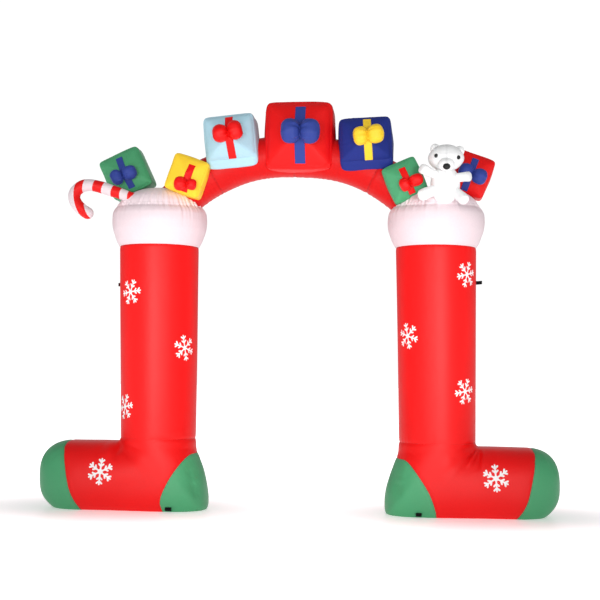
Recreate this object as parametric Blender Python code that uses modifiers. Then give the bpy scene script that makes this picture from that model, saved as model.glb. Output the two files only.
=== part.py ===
"""Walk-through inflatable arch: two stockings, an arched tube, gifts, a candy cane and a bear.

Frame: metres, +Z up, floor at Z = 0, front towards -Y, +X to the right seen from the front.
Every cut panel and fitted piece is its own closed solid, 0.3 mm from its neighbours.
"""

import math

import bmesh
import bpy
from mathutils import Matrix, Vector

# ---------------------------------------------------------------- general sizes
GAP = 0.0003            # space kept between neighbouring solids
HALF_GAP = GAP / 2.0
AXIS_Y = 0.030          # depth of the stocking axes, so that the bounding box is centred
RING = 20               # points round a stocking section
LEAN = -0.012           # sideways drift per metre of height above the instep

# ---------------------------------------------------------------- stockings
LEG_X = 0.818           # leg axis to centre line
LEG_R_TOP = 0.2330
LEG_R_LOW = 0.2207
CUFF_SEAM_Z = 1.541
INSTEP_Z = 0.415        # height of the seam between leg and foot
INSTEP_ROUND = 0.020    # fillet radius in the instep corner
FOOT_TOP = 0.394
FOOT_HALF_DEPTH = 0.215
FOOT_SINK = 0.0450      # how far an unflattened foot section would dip below the floor
FOOT_POWER = 2.5        # superellipse power of the foot section
TOE_REACH = 0.699       # leg axis to the end of the toe
TOE_MID_Z = 0.165
TOE_BEND = 0.490        # where the foot starts to close in height
TOE_TAPER = 0.415       # where the foot starts to close in depth

# Fan of sections from the leg, round the heel, to the foot.
# Columns: angle below horizontal (deg), reach from the instep pivot (m).
HEEL_FAN = (
    (0.0, 0.4614),
    (7.0, 0.4690),
    (14.0, 0.5020),
    (21.0, 0.5500),
    (28.0, 0.6070),
    (33.5, 0.6490),
    (38.0, 0.6740),
    (43.5, 0.6660),
    (53.0, 0.5960),
    (62.0, 0.5400),
    (72.0, 0.4960),
    (81.0, 0.4720),
    (90.0, 0.4600),
)
LEG_RINGS_Z = (CUFF_SEAM_Z, 1.25, 0.95, 0.68, INSTEP_Z)
TOE_STATIONS = (0.330, 0.440, 0.520, 0.580, 0.625, 0.657, 0.679, 0.692, 0.6975)

# Seams round the heel and toe panels, from the top down to the sole.
# Columns: distance outwards of the leg axis, height.
HEEL_SEAMS = {
    "left": (
        (-0.330, 0.334),
        (-0.232, 0.331),
        (-0.197, 0.3135),
        (-0.141, 0.240),
        (-0.095, 0.164),
        (-0.064, 0.095),
        (-0.055, 0.048),
        (-0.062, 0.018),
        (-0.070, -0.010),
    ),
    "right": (
        (-0.330, 0.322),
        (-0.219, 0.323),
        (-0.185, 0.318),
        (-0.157, 0.295),
        (-0.106, 0.229),
        (-0.058, 0.155),
        (-0.033, 0.0995),
        (-0.013, 0.0365),
        (-0.005, -0.010),
    ),
}
TOE_SEAMS = {
    "left": (
        (0.512, 0.410),
        (0.526, 0.375),
        (0.5215, 0.342),
        (0.511, 0.287),
        (0.487, 0.175),
        (0.473, 0.118),
        (0.450, 0.060),
        (0.425, 0.017),
        (0.407, -0.010),
    ),
    "right": (
        (0.524, 0.410),
        (0.5435, 0.368),
        (0.541, 0.318),
        (0.5345, 0.265),
        (0.511, 0.144),
        (0.494, 0.0875),
        (0.468, 0.035),
        (0.432, -0.010),
    ),
}

# ---------------------------------------------------------------- cuffs
CUFF_DX = -0.0145       # drift of the cuffs from the leg axes
SHOULDER_Z = 1.780      # height of the gathered seam
# Columns: radius, height.
CUFF_SIDE = (
    (0.2430, SHOULDER_Z - HALF_GAP),
    (0.2640, 1.757),
    (0.2760, 1.728),
    (0.2810, 1.690),
    (0.2770, 1.648),
    (0.2630, 1.602),
    (0.2480, 1.564),
    (LEG_R_TOP, CUFF_SEAM_Z + HALF_GAP),
)
CUFF_DOME = (
    (0.0000, 1.893),
    (0.0800, 1.888),
    (0.1500, 1.869),
    (0.1980, 1.846),
    (0.2290, 1.815),
    (0.2430, SHOULDER_Z + HALF_GAP),
)

# ---------------------------------------------------------------- arched tube
ARCH_CROWN_Z = 2.0824   # crown of the centre line
ARCH_CENTRE_X = -0.0280
ARCH_DROP = 0.626
ARCH_POWER = 2.40
ARCH_R = 0.1215
ARCH_HALF_SPAN = 0.740
ARCH_STATIONS = 22
ARCH_SIDES = 14

# ---------------------------------------------------------------- gifts
PILLOW_POWER = 14.0     # roundness of a gift's edges
FRONT_DRAW = 0.360      # how far the front's edges draw in from its middle
BACK_DRAW = 0.160       # how far the back's edges draw in from its middle
RIBBON_THICK = 0.0015

# Columns: name, x, y, z, width, depth, height, tilt (deg, anticlockwise from the front), cells,
# draw of the other faces' edges, share by which the front's lower edge is lifted.
GIFTS = (
    ("top_red", 0.004, -0.030, 2.186, 0.423, 0.420, 0.428, 0.0, 6, 0.085, 0.00),
    ("light_blue", -0.396, -0.060, 2.153, 0.323, 0.380, 0.328, 6.0, 6, 0.080, 0.25),
    ("dark_blue", 0.393, -0.060, 2.138, 0.324, 0.370, 0.322, 3.4, 6, 0.085, 0.27),
    ("outer_green", -1.039, 0.020, 1.983, 0.266, 0.245, 0.262, 25.0, 4, 0.050, 0.00),
    ("yellow", -0.644, -0.130, 1.946, 0.228, 0.215, 0.232, -19.0, 4, 0.075, 0.00),
    ("inner_green", 0.621, -0.112, 1.919, 0.222, 0.210, 0.236, 24.0, 4, 0.075, 0.00),
    ("outer_red", 1.008, 0.020, 1.973, 0.228, 0.230, 0.250, -20.5, 4, 0.065, 0.00),
)
# Columns: x, width, low end, high end.
RIBBONS = {
    "top_red": (0.0125, 0.060, -0.170, 0.162),
    "light_blue": (0.008, 0.045, -0.109, 0.134),
    "dark_blue": (0.015, 0.046, -0.104, 0.132),
    "outer_green": (0.0035, 0.040, -0.104, 0.093),
    "yellow": (0.0205, 0.039, -0.098, 0.064),
    "inner_green": (0.008, 0.039, -0.093, 0.066),
    "outer_red": (-0.0085, 0.040, -0.108, 0.088),
}
# Columns: x and z of the pinch, turn (deg), then reach and height of the left and the right lobe.
BOWS = {
    "top_red": (0.019, -0.002, 0.0, 0.112, 0.143, 0.1145, 0.143),
    "light_blue": (0.006, 0.030, 7.0, 0.091, 0.103, 0.085, 0.112),
    "dark_blue": (0.015, 0.023, 4.0, 0.082, 0.108, 0.095, 0.108),
    "outer_green": (-0.009, -0.024, -4.0, 0.0735, 0.0905, 0.0865, 0.0835),
    "yellow": (0.032, -0.053, 15.0, 0.078, 0.082, 0.056, 0.065),
    "inner_green": (0.0155, -0.034, -1.0, 0.061, 0.079, 0.079, 0.069),
    "outer_red": (0.006, -0.011, -1.7, 0.085, 0.090, 0.085, 0.092),
}
# Columns: station along half the bow (0 pinch, 1 tip), fraction of the lobe's half height.
BOW_LOBE = (
    (0.00, 0.60),
    (0.16, 0.86),
    (0.42, 1.00),
    (0.68, 0.92),
    (0.88, 0.63),
    (0.97, 0.30),
)
BOW_DEPTH = 0.86        # bow depth over the lobes' mean height
BOW_STAND = 0.24        # bow's middle ahead of the face, over its depth
BOW_SAG = 0.0072        # room for the face's swell behind the bow, over the lobes' mean height

# ---------------------------------------------------------------- candy cane
CANE_R = 0.0350
CANE_Y = -0.190
# Columns: x, z along the centre line, from inside the cuff to the tip of the hook.
CANE_PATH = (
    (-0.900, 1.795),
    (-0.983, 1.823),
    (-1.075, 1.853),
    (-1.150, 1.875),
    (-1.215, 1.886),
    (-1.264, 1.876),
    (-1.296, 1.847),
    (-1.304, 1.812),
    (-1.290, 1.778),
    (-1.262, 1.748),
    (-1.222, 1.721),
)

# ---------------------------------------------------------------- bear
BEAR_X = 0.852
# Columns: name, x, y, z of the centre, then half sizes x, y, z.
BEAR_BALLS = (
    ("bear_head", 0.000, -0.240, 2.031, 0.098, 0.085, 0.076),
    ("bear_body", -0.004, -0.235, 1.878, 0.083, 0.078, 0.110),
    ("bear_muzzle", -0.001, -0.310, 1.982, 0.047, 0.040, 0.038),
    ("bear_left_ear", -0.061, -0.232, 2.085, 0.028, 0.023, 0.029),
    ("bear_right_ear", 0.076, -0.232, 2.072, 0.028, 0.023, 0.029),
    ("bear_nose", 0.000, -0.347, 1.965, 0.021, 0.013, 0.018),
    ("bear_left_eye", -0.056, -0.308, 2.032, 0.012, 0.008, 0.012),
    ("bear_right_eye", 0.066, -0.303, 2.023, 0.012, 0.008, 0.012),
)
# Columns: name, root x y z, tip x y z, radius.
BEAR_LIMBS = (
    ("bear_left_arm", (-0.050, -0.258, 1.926), (-0.141, -0.328, 1.959), 0.027),
    ("bear_right_arm", (0.050, -0.250, 1.915), (0.132, -0.296, 1.917), 0.027),
    ("bear_left_leg", (-0.045, -0.245, 1.858), (-0.140, -0.325, 1.805), 0.032),
    ("bear_right_leg", (0.040, -0.245, 1.850), (0.102, -0.325, 1.779), 0.031),
)

# ---------------------------------------------------------------- webbing
WEB_THICK = 0.0018
# Columns: name, side, height, reach beyond the leg, strap width, slot.
TETHER_LOOPS = (
    ("left_tether_loop", -1, 1.317, 0.016, 0.020, 0.010),
    ("right_tether_loop", 1, 1.340, 0.034, 0.020, 0.010),
)
# Columns: name, side, distance inwards of the leg axis, strap width, reach, slot.
STAKE_TABS = (
    ("left_stake_tab", -1, 0.103, 0.036, 0.034, 0.018),
    ("right_stake_tab", 1, 0.106, 0.032, 0.034, 0.018),
)
STAKE_TAB_Z = 0.018

# ---------------------------------------------------------------- colours (linear RGB)
RED = (0.760, 0.012, 0.016, 1.0)
GREEN = (0.075, 0.330, 0.140, 1.0)
WHITE = (0.860, 0.800, 0.820, 1.0)
BEAR_WHITE = (0.840, 0.860, 0.860, 1.0)
LIGHT_BLUE = (0.380, 0.640, 0.740, 1.0)
DARK_BLUE = (0.022, 0.045, 0.150, 1.0)
YELLOW = (0.930, 0.620, 0.025, 1.0)
BOW_BLUE = (0.040, 0.070, 0.340, 1.0)
BLACK = (0.012, 0.012, 0.013, 1.0)
FABRIC_ROUGH = 0.55
WEB_ROUGH = 0.70

GIFT_COLOURS = {
    "top_red": (RED, BOW_BLUE),
    "light_blue": (LIGHT_BLUE, RED),
    "dark_blue": (DARK_BLUE, YELLOW),
    "outer_green": (GREEN, BOW_BLUE),
    "yellow": (YELLOW, RED),
    "inner_green": (GREEN, RED),
    "outer_red": (RED, BOW_BLUE),
}


# ---------------------------------------------------------------- scene helpers
def clear_scene():
    for obj in list(bpy.data.objects):
        bpy.data.objects.remove(obj, do_unlink=True)


def new_collection(name):
    col = bpy.data.collections.new(name)
    bpy.context.scene.collection.children.link(col)
    return col


def make_material(name, colour, rough):
    mat = bpy.data.materials.new(name)
    mat.use_nodes = True
    shader = mat.node_tree.nodes["Principled BSDF"]
    shader.inputs["Base Color"].default_value = colour
    shader.inputs["Roughness"].default_value = rough
    shader.inputs["Metallic"].default_value = 0.0
    mat.diffuse_color = colour
    return mat


def add_mesh(name, verts, faces, location=(0.0, 0.0, 0.0), smooth=True):
    mesh = bpy.data.meshes.new(name)
    mesh.from_pydata([tuple(v) for v in verts], [], faces)
    bm = bmesh.new()
    bm.from_mesh(mesh)
    bmesh.ops.recalc_face_normals(bm, faces=bm.faces)
    for face in bm.faces:
        face.smooth = smooth
    bm.to_mesh(mesh)
    bm.free()
    obj = bpy.data.objects.new(name, mesh)
    obj.location = location
    return obj


def as_part(obj, colour, rough=FABRIC_ROUGH):
    obj.data.materials.clear()
    obj.data.materials.append(make_material(obj.name + "_cloth", colour, rough))
    PARTS.objects.link(obj)
    obj.parent = ROOT
    return obj


def as_cutter(obj):
    CUTTERS.objects.link(obj)
    obj.parent = ROOT
    obj.hide_render = True
    obj.display_type = "WIRE"
    return obj


def boolean(obj, cutter, operation):
    mod = obj.modifiers.new(operation.lower() + "_" + cutter.name, "BOOLEAN")
    mod.operation = operation
    mod.solver = "EXACT"
    mod.object = cutter


def loft(name, rings, location=(0.0, 0.0, 0.0)):
    """Closed solid through rings of equal length; a ring of one point is a pole."""
    verts = []
    starts = []
    for ring in rings:
        starts.append(len(verts))
        verts.extend(ring)
    faces = []
    for first, second, i, j in zip(rings, rings[1:], starts, starts[1:]):
        count = max(len(first), len(second))
        for k in range(count):
            n = (k + 1) % count
            if len(first) == 1:
                faces.append((i, j + n, j + k))
            elif len(second) == 1:
                faces.append((i + k, i + n, j))
            else:
                faces.append((i + k, i + n, j + n))
                faces.append((i + k, j + n, j + k))
    if len(rings[0]) > 1:
        faces.append(tuple(range(starts[0], starts[0] + len(rings[0]))))
    if len(rings[-1]) > 1:
        faces.append(tuple(range(starts[-1], starts[-1] + len(rings[-1]))))
    return add_mesh(name, verts, faces, location)


def signed_power(value, power):
    return math.copysign(abs(value) ** power, value)


# ---------------------------------------------------------------- stockings
def stocking_point(side, s, y, z):
    drift = LEAN * max(0.0, z - INSTEP_Z)
    return (side * (LEG_X + s) + drift, y, z)


def leg_rings(side, grow=0.0):
    rings = []
    for z in LEG_RINGS_Z:
        share = (z - INSTEP_Z) / (CUFF_SEAM_Z - INSTEP_Z)
        radius = LEG_R_LOW + (LEG_R_TOP - LEG_R_LOW) * share + grow
        height = z
        if z == CUFF_SEAM_Z:
            height = z - HALF_GAP
        if z == INSTEP_Z:
            height = z + HALF_GAP
        ring = []
        for k in range(RING):
            a = 2.0 * math.pi * k / RING
            ring.append(stocking_point(side, -radius * math.cos(a), radius * math.sin(a), height))
        rings.append(ring)
    return rings


def fan_ring(side, angle, near, far, half_depth, power, pivot):
    """Section that lies in a plane through the instep pivot."""
    down = math.radians(angle)
    middle = (near + far) / 2.0
    half = (far - near) / 2.0
    ring = []
    for k in range(RING):
        a = 2.0 * math.pi * k / RING
        reach = middle + half * signed_power(math.cos(a), 2.0 / power)
        y = half_depth * signed_power(math.sin(a), 2.0 / power)
        s = pivot[0] - reach * math.cos(down)
        z = pivot[1] - reach * math.sin(down)
        ring.append(stocking_point(side, s, y, max(0.0, z)))
    return ring


def toe_ring(side, s, grow=0.0):
    """Upright section of the foot at a distance s outwards of the leg axis."""
    rise = max(0.0, (s - TOE_BEND) / (TOE_REACH - TOE_BEND))
    shrink = (1.0 - rise ** 2.6) ** (1.0 / 2.6)
    taper = max(0.0, (s - TOE_TAPER) / (TOE_REACH - TOE_TAPER))
    narrow = (1.0 - taper ** 2.3) ** (1.0 / 2.3)
    top = TOE_MID_Z + (FOOT_TOP - TOE_MID_Z) * shrink + grow
    low = TOE_MID_Z - (TOE_MID_Z + FOOT_SINK * (1.0 - rise)) * shrink - grow
    half = (top - low) / 2.0
    middle = (top + low) / 2.0
    ring = []
    for k in range(RING):
        a = 2.0 * math.pi * k / RING
        z = middle - half * signed_power(math.cos(a), 2.0 / FOOT_POWER)
        y = (FOOT_HALF_DEPTH + grow) * narrow * signed_power(math.sin(a), 2.0 / FOOT_POWER)
        ring.append(stocking_point(side, s, y, max(0.0, z)))
    return ring


def foot_rings(side, grow=0.0):
    pivot = (LEG_R_LOW + INSTEP_ROUND, INSTEP_Z - HALF_GAP)
    rings = []
    for angle, reach in HEEL_FAN:
        share = angle / 90.0
        power = 2.0 + (FOOT_POWER - 2.0) * min(1.0, share * 1.6)
        depth = LEG_R_LOW + (FOOT_HALF_DEPTH - LEG_R_LOW) * share + grow
        near = INSTEP_ROUND + (INSTEP_Z - FOOT_TOP - INSTEP_ROUND) * share - grow
        rings.append(fan_ring(side, angle, near, reach + grow, depth, power, pivot))
    for s in TOE_STATIONS:
        rings.append(toe_ring(side, s, grow))
    rings.append([stocking_point(side, TOE_REACH + grow, 0.0, TOE_MID_Z)])
    return rings


def slab(name, outline, half_depth=0.40):
    """Prism of an (x, z) outline, cut through in depth."""
    verts = [(x, -half_depth, z) for x, z in outline]
    verts += [(x, half_depth, z) for x, z in outline]
    n = len(outline)
    faces = [tuple(range(n)), tuple(range(2 * n - 1, n - 1, -1))]
    for k in range(n):
        faces.append((k, (k + 1) % n, n + (k + 1) % n, n + k))
    return as_cutter(add_mesh(name, verts, faces, smooth=False))


def smooth_path(rows, steps):
    """Curve through the rows, with this many stations from each row to the next."""
    points = [Vector(row) for row in rows]
    fine = []
    for k in range(len(points) - 1):
        before = points[max(k - 1, 0)]
        after = points[min(k + 2, len(points) - 1)]
        a, b = points[k], points[k + 1]
        for n in range(steps):
            t = n / steps
            fine.append(0.5 * ((2 * a) + (b - before) * t + (2 * before - 5 * a + 4 * b - after) * t * t
                               + (3 * a - before - 3 * b + after) * t ** 3))
    return fine + [points[-1]]


def panel_region(name, side, seam, beyond, far, grow):
    """Cutter on one side of a seam: beyond is 1 outwards of it and -1 inwards, far its other end."""
    line = smooth_path(seam, 3)
    outline = []
    for k, point in enumerate(line):
        ahead = line[min(k + 1, len(line) - 1)] - line[max(k - 1, 0)]
        away = Vector((ahead.y, -ahead.x)).normalized() * (beyond * grow)
        outline.append(point + away)
    outline.append(Vector((outline[-1].x, -0.050)))
    outline.append(Vector((far, -0.050)))
    outline.append(Vector((far, outline[0].y)))
    return slab("cut_" + name, [(side * (LEG_X + s), z) for s, z in outline])


def heel_region(side, grow, tag, name):
    return panel_region("heel_" + name, side, HEEL_SEAMS[tag], -1, -0.700, grow)


def toe_region(side, grow, tag, name):
    return panel_region("toe_" + name, side, TOE_SEAMS[tag], 1, 1.000, grow)


def build_stocking(side, tag):
    leg = loft(tag + "_leg", leg_rings(side))
    as_part(leg, RED)
    foot = as_part(loft(tag + "_foot", foot_rings(side)), RED)
    heel = as_part(loft(tag + "_heel", foot_rings(side)), GREEN)
    toe = as_part(loft(tag + "_toe", foot_rings(side)), GREEN)
    boolean(foot, heel_region(side, HALF_GAP, tag, tag + "_wide"), "DIFFERENCE")
    boolean(foot, toe_region(side, HALF_GAP, tag, tag + "_wide"), "DIFFERENCE")
    boolean(heel, heel_region(side, -HALF_GAP, tag, tag + "_snug"), "INTERSECT")
    boolean(toe, toe_region(side, -HALF_GAP, tag, tag + "_snug"), "INTERSECT")


# ---------------------------------------------------------------- cuffs
def revolve(name, profile, x):
    """Turned solid: the profile starts on the axis, runs down the outside and ends on the axis."""
    mesh = bpy.data.meshes.new(name)
    edges = [(k, k + 1) for k in range(len(profile) - 1)]
    mesh.from_pydata([(r, 0.0, z) for r, z in profile], edges, [])
    obj = bpy.data.objects.new(name, mesh)
    obj.location = (x, 0.0, 0.0)
    screw = obj.modifiers.new("turn", "SCREW")
    screw.axis = "Z"
    screw.angle = 2.0 * math.pi
    screw.steps = RING
    screw.render_steps = RING
    screw.use_merge_vertices = True
    screw.merge_threshold = 0.00001
    screw.use_smooth_shade = True
    return obj


def cuff_x(side):
    return side * LEG_X + CUFF_DX


def build_cuff(side, tag):
    wall = ((0.0, CUFF_SIDE[0][1]),) + CUFF_SIDE + ((0.0, CUFF_SIDE[-1][1]),)
    as_part(revolve(tag + "_cuff", wall, cuff_x(side)), WHITE)
    dome = CUFF_DOME + ((0.0, CUFF_DOME[-1][1]),)
    as_part(revolve(tag + "_cuff_top", dome, cuff_x(side)), WHITE)


def cuff_clearance(side, tag):
    """Envelope of a cuff with its top, grown by the gap, that trims whatever sits on it."""
    profile = [(0.0, CUFF_DOME[0][1] + GAP)]
    profile += [(r + GAP, z + GAP) for r, z in CUFF_DOME[1:-1]]
    profile += [(r + GAP, z) for r, z in CUFF_SIDE]
    profile += [(0.0, CUFF_SIDE[-1][1])]
    return as_cutter(revolve("clear_cuff_" + tag, profile, cuff_x(side)))


# ---------------------------------------------------------------- tubes
def tube(name, path, radius, sides, round_tip=False):
    """Tube along (x, y, z) stations in a plane of constant y; capped at both ends."""
    points = [Vector(p) for p in path]
    rings = []
    across = Vector((0.0, 1.0, 0.0))
    for k, point in enumerate(points):
        ahead = points[min(k + 1, len(points) - 1)] - points[max(k - 1, 0)]
        up = ahead.normalized().cross(across).normalized()
        ring = []
        for j in range(sides):
            a = 2.0 * math.pi * j / sides
            ring.append(point + up * (radius * math.cos(a)) + across * (radius * math.sin(a)))
        rings.append(ring)
    if round_tip:
        ahead = (points[-1] - points[-2]).normalized()
        up = ahead.cross(across).normalized()
        for bend in (30.0, 58.0, 80.0):
            wide = radius * math.cos(math.radians(bend))
            centre = points[-1] + ahead * (radius * math.sin(math.radians(bend)))
            ring = []
            for j in range(sides):
                a = 2.0 * math.pi * j / sides
                ring.append(centre + up * (wide * math.cos(a)) + across * (wide * math.sin(a)))
            rings.append(ring)
        rings.append([points[-1] + ahead * radius])
    return loft(name, rings)


def arch_height(u):
    return ARCH_CROWN_Z - ARCH_DROP * abs(u) ** ARCH_POWER


def arch_path():
    path = []
    for k in range(ARCH_STATIONS + 1):
        u = -ARCH_HALF_SPAN + 2.0 * ARCH_HALF_SPAN * k / ARCH_STATIONS
        path.append((ARCH_CENTRE_X + u, 0.0, arch_height(u)))
    return path


def build_arch(cuffs):
    arch = as_part(tube("arch_tube", arch_path(), ARCH_R, ARCH_SIDES), RED)
    for cutter in cuffs:
        boolean(arch, cutter, "DIFFERENCE")


def arch_clearance():
    """Tube grown by the gap, opened downwards, so that a gift sits over it like a saddle."""
    grown = as_cutter(tube("clear_arch", arch_path(), ARCH_R + GAP, ARCH_SIDES))
    path = arch_path()
    half = 0.70 * ARCH_R
    verts = []
    for x, _, z in path:
        verts += [(x, -half, z), (x, half, z), (x, half, z - 0.30), (x, -half, z - 0.30)]
    faces = [(0, 1, 2, 3)]
    last = 4 * (len(path) - 1)
    faces.append((last + 3, last + 2, last + 1, last))
    for k in range(len(path) - 1):
        a = 4 * k
        for j in range(4):
            n = (j + 1) % 4
            faces.append((a + j, a + n, a + 4 + n, a + 4 + j))
    slot = as_cutter(add_mesh("clear_arch_slot", verts, faces, smooth=False))
    return grown, slot


def cane_path():
    return smooth_path([(x, CANE_Y, z) for x, z in CANE_PATH], 2)


def build_cane(cuff):
    cane = as_part(tube("candy_cane", cane_path(), CANE_R, 14, round_tip=True), RED)
    boolean(cane, cuff, "DIFFERENCE")


# ---------------------------------------------------------------- gifts
def pillow(a, b, c, half, row):
    """Point of a gift's pillowed box from a point (a, b, c) of the unit cube's surface."""
    draw, lift = row[9], row[10]
    size = (abs(a) ** PILLOW_POWER + abs(b) ** PILLOW_POWER + abs(c) ** PILLOW_POWER)
    size = size ** (1.0 / PILLOW_POWER)
    unit = (a, b, c)
    out = []
    for i, pull in enumerate((draw, FRONT_DRAW if b < 0.0 else BACK_DRAW, draw)):
        crown = (1.0 - unit[(i + 1) % 3] ** 2) * (1.0 - unit[(i + 2) % 3] ** 2)
        out.append(half[i] * unit[i] / size * (1.0 - pull * (1.0 - crown)))
    if c < 0.0:
        out[2] *= 1.0 - lift * max(0.0, -3.0 * b - 2.0)
    return Vector(out)


def pillow_box(name, row, grow=0.0):
    """Pillowed box of a gift, in place."""
    half, cells = half_sizes(row, grow), row[8]
    bm = bmesh.new()
    bmesh.ops.create_cube(bm, size=2.0)
    bmesh.ops.subdivide_edges(bm, edges=bm.edges[:], cuts=cells - 1, use_grid_fill=True)
    for vert in bm.verts:
        vert.co = pillow(vert.co.x, vert.co.y, vert.co.z, half, row)
    bmesh.ops.triangulate(bm, faces=bm.faces[:], quad_method="FIXED")
    mesh = bpy.data.meshes.new(name)
    bm.to_mesh(mesh)
    bm.free()
    for poly in mesh.polygons:
        poly.use_smooth = True
    return place_gift(bpy.data.objects.new(name, mesh), row)


def half_sizes(row, grow=0.0):
    return (row[4] / 2.0 + grow, row[5] / 2.0 + grow, row[6] / 2.0 + grow)


def front_rim(row):
    """Half width, height above and depth below the middle of a gift's front face."""
    half, draw, lift = half_sizes(row), row[9], row[10]
    tall = half[2] * (1.0 - draw)
    return half[0] * (1.0 - draw), tall, tall * (1.0 - lift)


def front_face(x, z, row):
    """Depth of a gift's front face at (x, z), measured from its middle."""
    wide, up, down = front_rim(row)
    a = max(-1.0, min(1.0, x / wide))
    c = max(-1.0, min(1.0, z / (up if z > 0.0 else down)))
    return pillow(a, -1.0, c, half_sizes(row), row).y


def ribbon_levels(low, high, row):
    """Heights at which a gift's ribbon bends, two for each cell of the face, with its ends."""
    steps = 2 * row[8]
    levels = [low]
    up, down = front_rim(row)[1:]
    for k in range(1, steps):
        share = 2.0 * k / steps - 1.0
        z = share * (up if share > 0.0 else down)
        if low + 0.002 < z < high - 0.002:
            levels.append(z)
    return levels + [high]


def ribbon(name, row):
    """Flat strip that follows a gift's front face."""
    x, width, low, high = RIBBONS[row[0]]
    crease = max(x - 0.3 * width, min(x + 0.3 * width, 0.0))
    rings = []
    for z in ribbon_levels(low, high, row):
        inner = []
        outer = []
        for across in (x - width / 2.0, crease, x + width / 2.0):
            y = front_face(across, z, row) - GAP - 0.0001
            inner.append(Vector((across, y, z)))
            outer.append(Vector((across, y - RIBBON_THICK, z)))
        rings.append(inner + outer[::-1])
    return place_gift(loft(name, rings), row)


def bow(name, row):
    """Two stuffed lobes pinched in the middle, pressed to the gift's face and its ribbon."""
    x, z, turn, left_reach, left_height, right_reach, right_height = BOWS[row[0]]
    tall = (left_height + right_height) / 2.0
    thick = tall * BOW_DEPTH
    stand_off = 2.0 * GAP + RIBBON_THICK + tall * BOW_SAG
    middle = front_face(x, z, row) - stand_off - thick * BOW_STAND
    ahead = Vector((math.cos(math.radians(turn)), math.sin(math.radians(turn))))
    upright = Vector((-ahead.y, ahead.x))
    lobes = [(-left_reach * t, left_height / 2.0 * f, f) for t, f in BOW_LOBE[:0:-1]]
    lobes.append((0.0, tall / 2.0 * BOW_LOBE[0][1], BOW_LOBE[0][1]))
    lobes += [(right_reach * t, right_height / 2.0 * f, f) for t, f in BOW_LOBE[1:]]
    pinch = Vector((x, z))
    tips = [pinch - ahead * left_reach, pinch + ahead * right_reach]
    rings = [[Vector((tips[0].x, middle, tips[0].y))]]
    for along, high, share in lobes:
        ring = []
        for k in range(10):
            a = 2.0 * math.pi * (k + 0.5) / 10
            spot = pinch + ahead * along + upright * (high * math.cos(a))
            seat = front_face(spot.x, spot.y, row) - stand_off
            ring.append(Vector((spot.x, min(seat, middle + thick / 2.0 * share * math.sin(a)), spot.y)))
        rings.append(ring)
    rings.append([Vector((tips[1].x, middle, tips[1].y))])
    return place_gift(loft(name, rings), row)


def place_gift(obj, row):
    obj.location = (row[1], row[2], row[3])
    obj.rotation_euler = (0.0, -math.radians(row[7]), 0.0)
    return obj


def gift_clearance(row):
    return as_cutter(pillow_box("clear_" + row[0], row, GAP))


def build_gift(row):
    name = row[0]
    box_colour, bow_colour = GIFT_COLOURS[name]
    box = as_part(pillow_box(name + "_gift", row), box_colour)
    as_part(ribbon(name + "_ribbon", row), bow_colour)
    as_part(bow(name + "_bow", row), bow_colour)
    return box


# ---------------------------------------------------------------- bear
def ball(name, centre, half, rows=9, columns=16):
    rings = [[Vector((0.0, 0.0, half[2]))]]
    for k in range(1, rows):
        polar = math.pi * k / rows
        ring = []
        for j in range(columns):
            a = 2.0 * math.pi * j / columns
            x = half[0] * math.sin(polar) * math.cos(a)
            y = half[1] * math.sin(polar) * math.sin(a)
            ring.append(Vector((x, y, half[2] * math.cos(polar))))
        rings.append(ring)
    rings.append([Vector((0.0, 0.0, -half[2]))])
    return loft(name, rings, centre)


def limb(name, root, tip, radius):
    """Stub with a nearly flat, rounded paw at its tip."""
    root = Vector(root)
    tip = Vector(tip)
    ahead = (tip - root).normalized()
    side = ahead.cross(Vector((0.0, 0.0, 1.0))).normalized()
    up = side.cross(ahead).normalized()
    length = (tip - root).length
    # Columns: share of the length, share of the radius.
    stations = ((0.0, 0.90), (0.35, 0.96), (0.70, 1.00), (0.92, 0.98), (0.98, 0.84))
    rings = []
    for along, wide in stations:
        ring = []
        for j in range(12):
            a = 2.0 * math.pi * j / 12
            offset = side * math.cos(a) + up * math.sin(a)
            ring.append(root + ahead * (length * along) + offset * (radius * wide))
        rings.append(ring)
    rings.append([tip + ahead * 0.002])
    return loft(name, rings)


def build_bear(cuff, neighbours):
    pieces = {}
    clear = {}
    for name, x, y, z, hx, hy, hz in BEAR_BALLS:
        centre = (BEAR_X + x, y, z)
        colour = BLACK if name in ("bear_nose", "bear_left_eye", "bear_right_eye") else BEAR_WHITE
        small = hx < 0.025
        rows, columns = (6, 10) if small else (9, 16)
        pieces[name] = as_part(ball(name, centre, (hx, hy, hz), rows, columns), colour)
        if name in ("bear_head", "bear_body", "bear_muzzle"):
            grown = (hx + GAP, hy + GAP, hz + GAP)
            clear[name] = as_cutter(ball("clear_" + name, centre, grown, rows, columns))
    for name, root, tip, radius in BEAR_LIMBS:
        shift = Vector((BEAR_X, 0.0, 0.0))
        pieces[name] = as_part(limb(name, Vector(root) + shift, Vector(tip) + shift, radius), BEAR_WHITE)
    boolean(pieces["bear_body"], clear["bear_head"], "DIFFERENCE")
    boolean(pieces["bear_body"], clear["bear_muzzle"], "DIFFERENCE")
    boolean(pieces["bear_body"], cuff, "DIFFERENCE")
    boolean(pieces["bear_muzzle"], clear["bear_head"], "DIFFERENCE")
    boolean(pieces["bear_nose"], clear["bear_muzzle"], "DIFFERENCE")
    for name in ("bear_left_ear", "bear_right_ear", "bear_left_eye", "bear_right_eye"):
        boolean(pieces[name], clear["bear_head"], "DIFFERENCE")
    for name, _, _, _ in BEAR_LIMBS:
        boolean(pieces[name], clear["bear_body"], "DIFFERENCE")
    for name in ("bear_left_leg", "bear_right_leg"):
        boolean(pieces[name], cuff, "DIFFERENCE")
    for name, cutter in neighbours:
        boolean(pieces[name], cutter, "DIFFERENCE")


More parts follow.
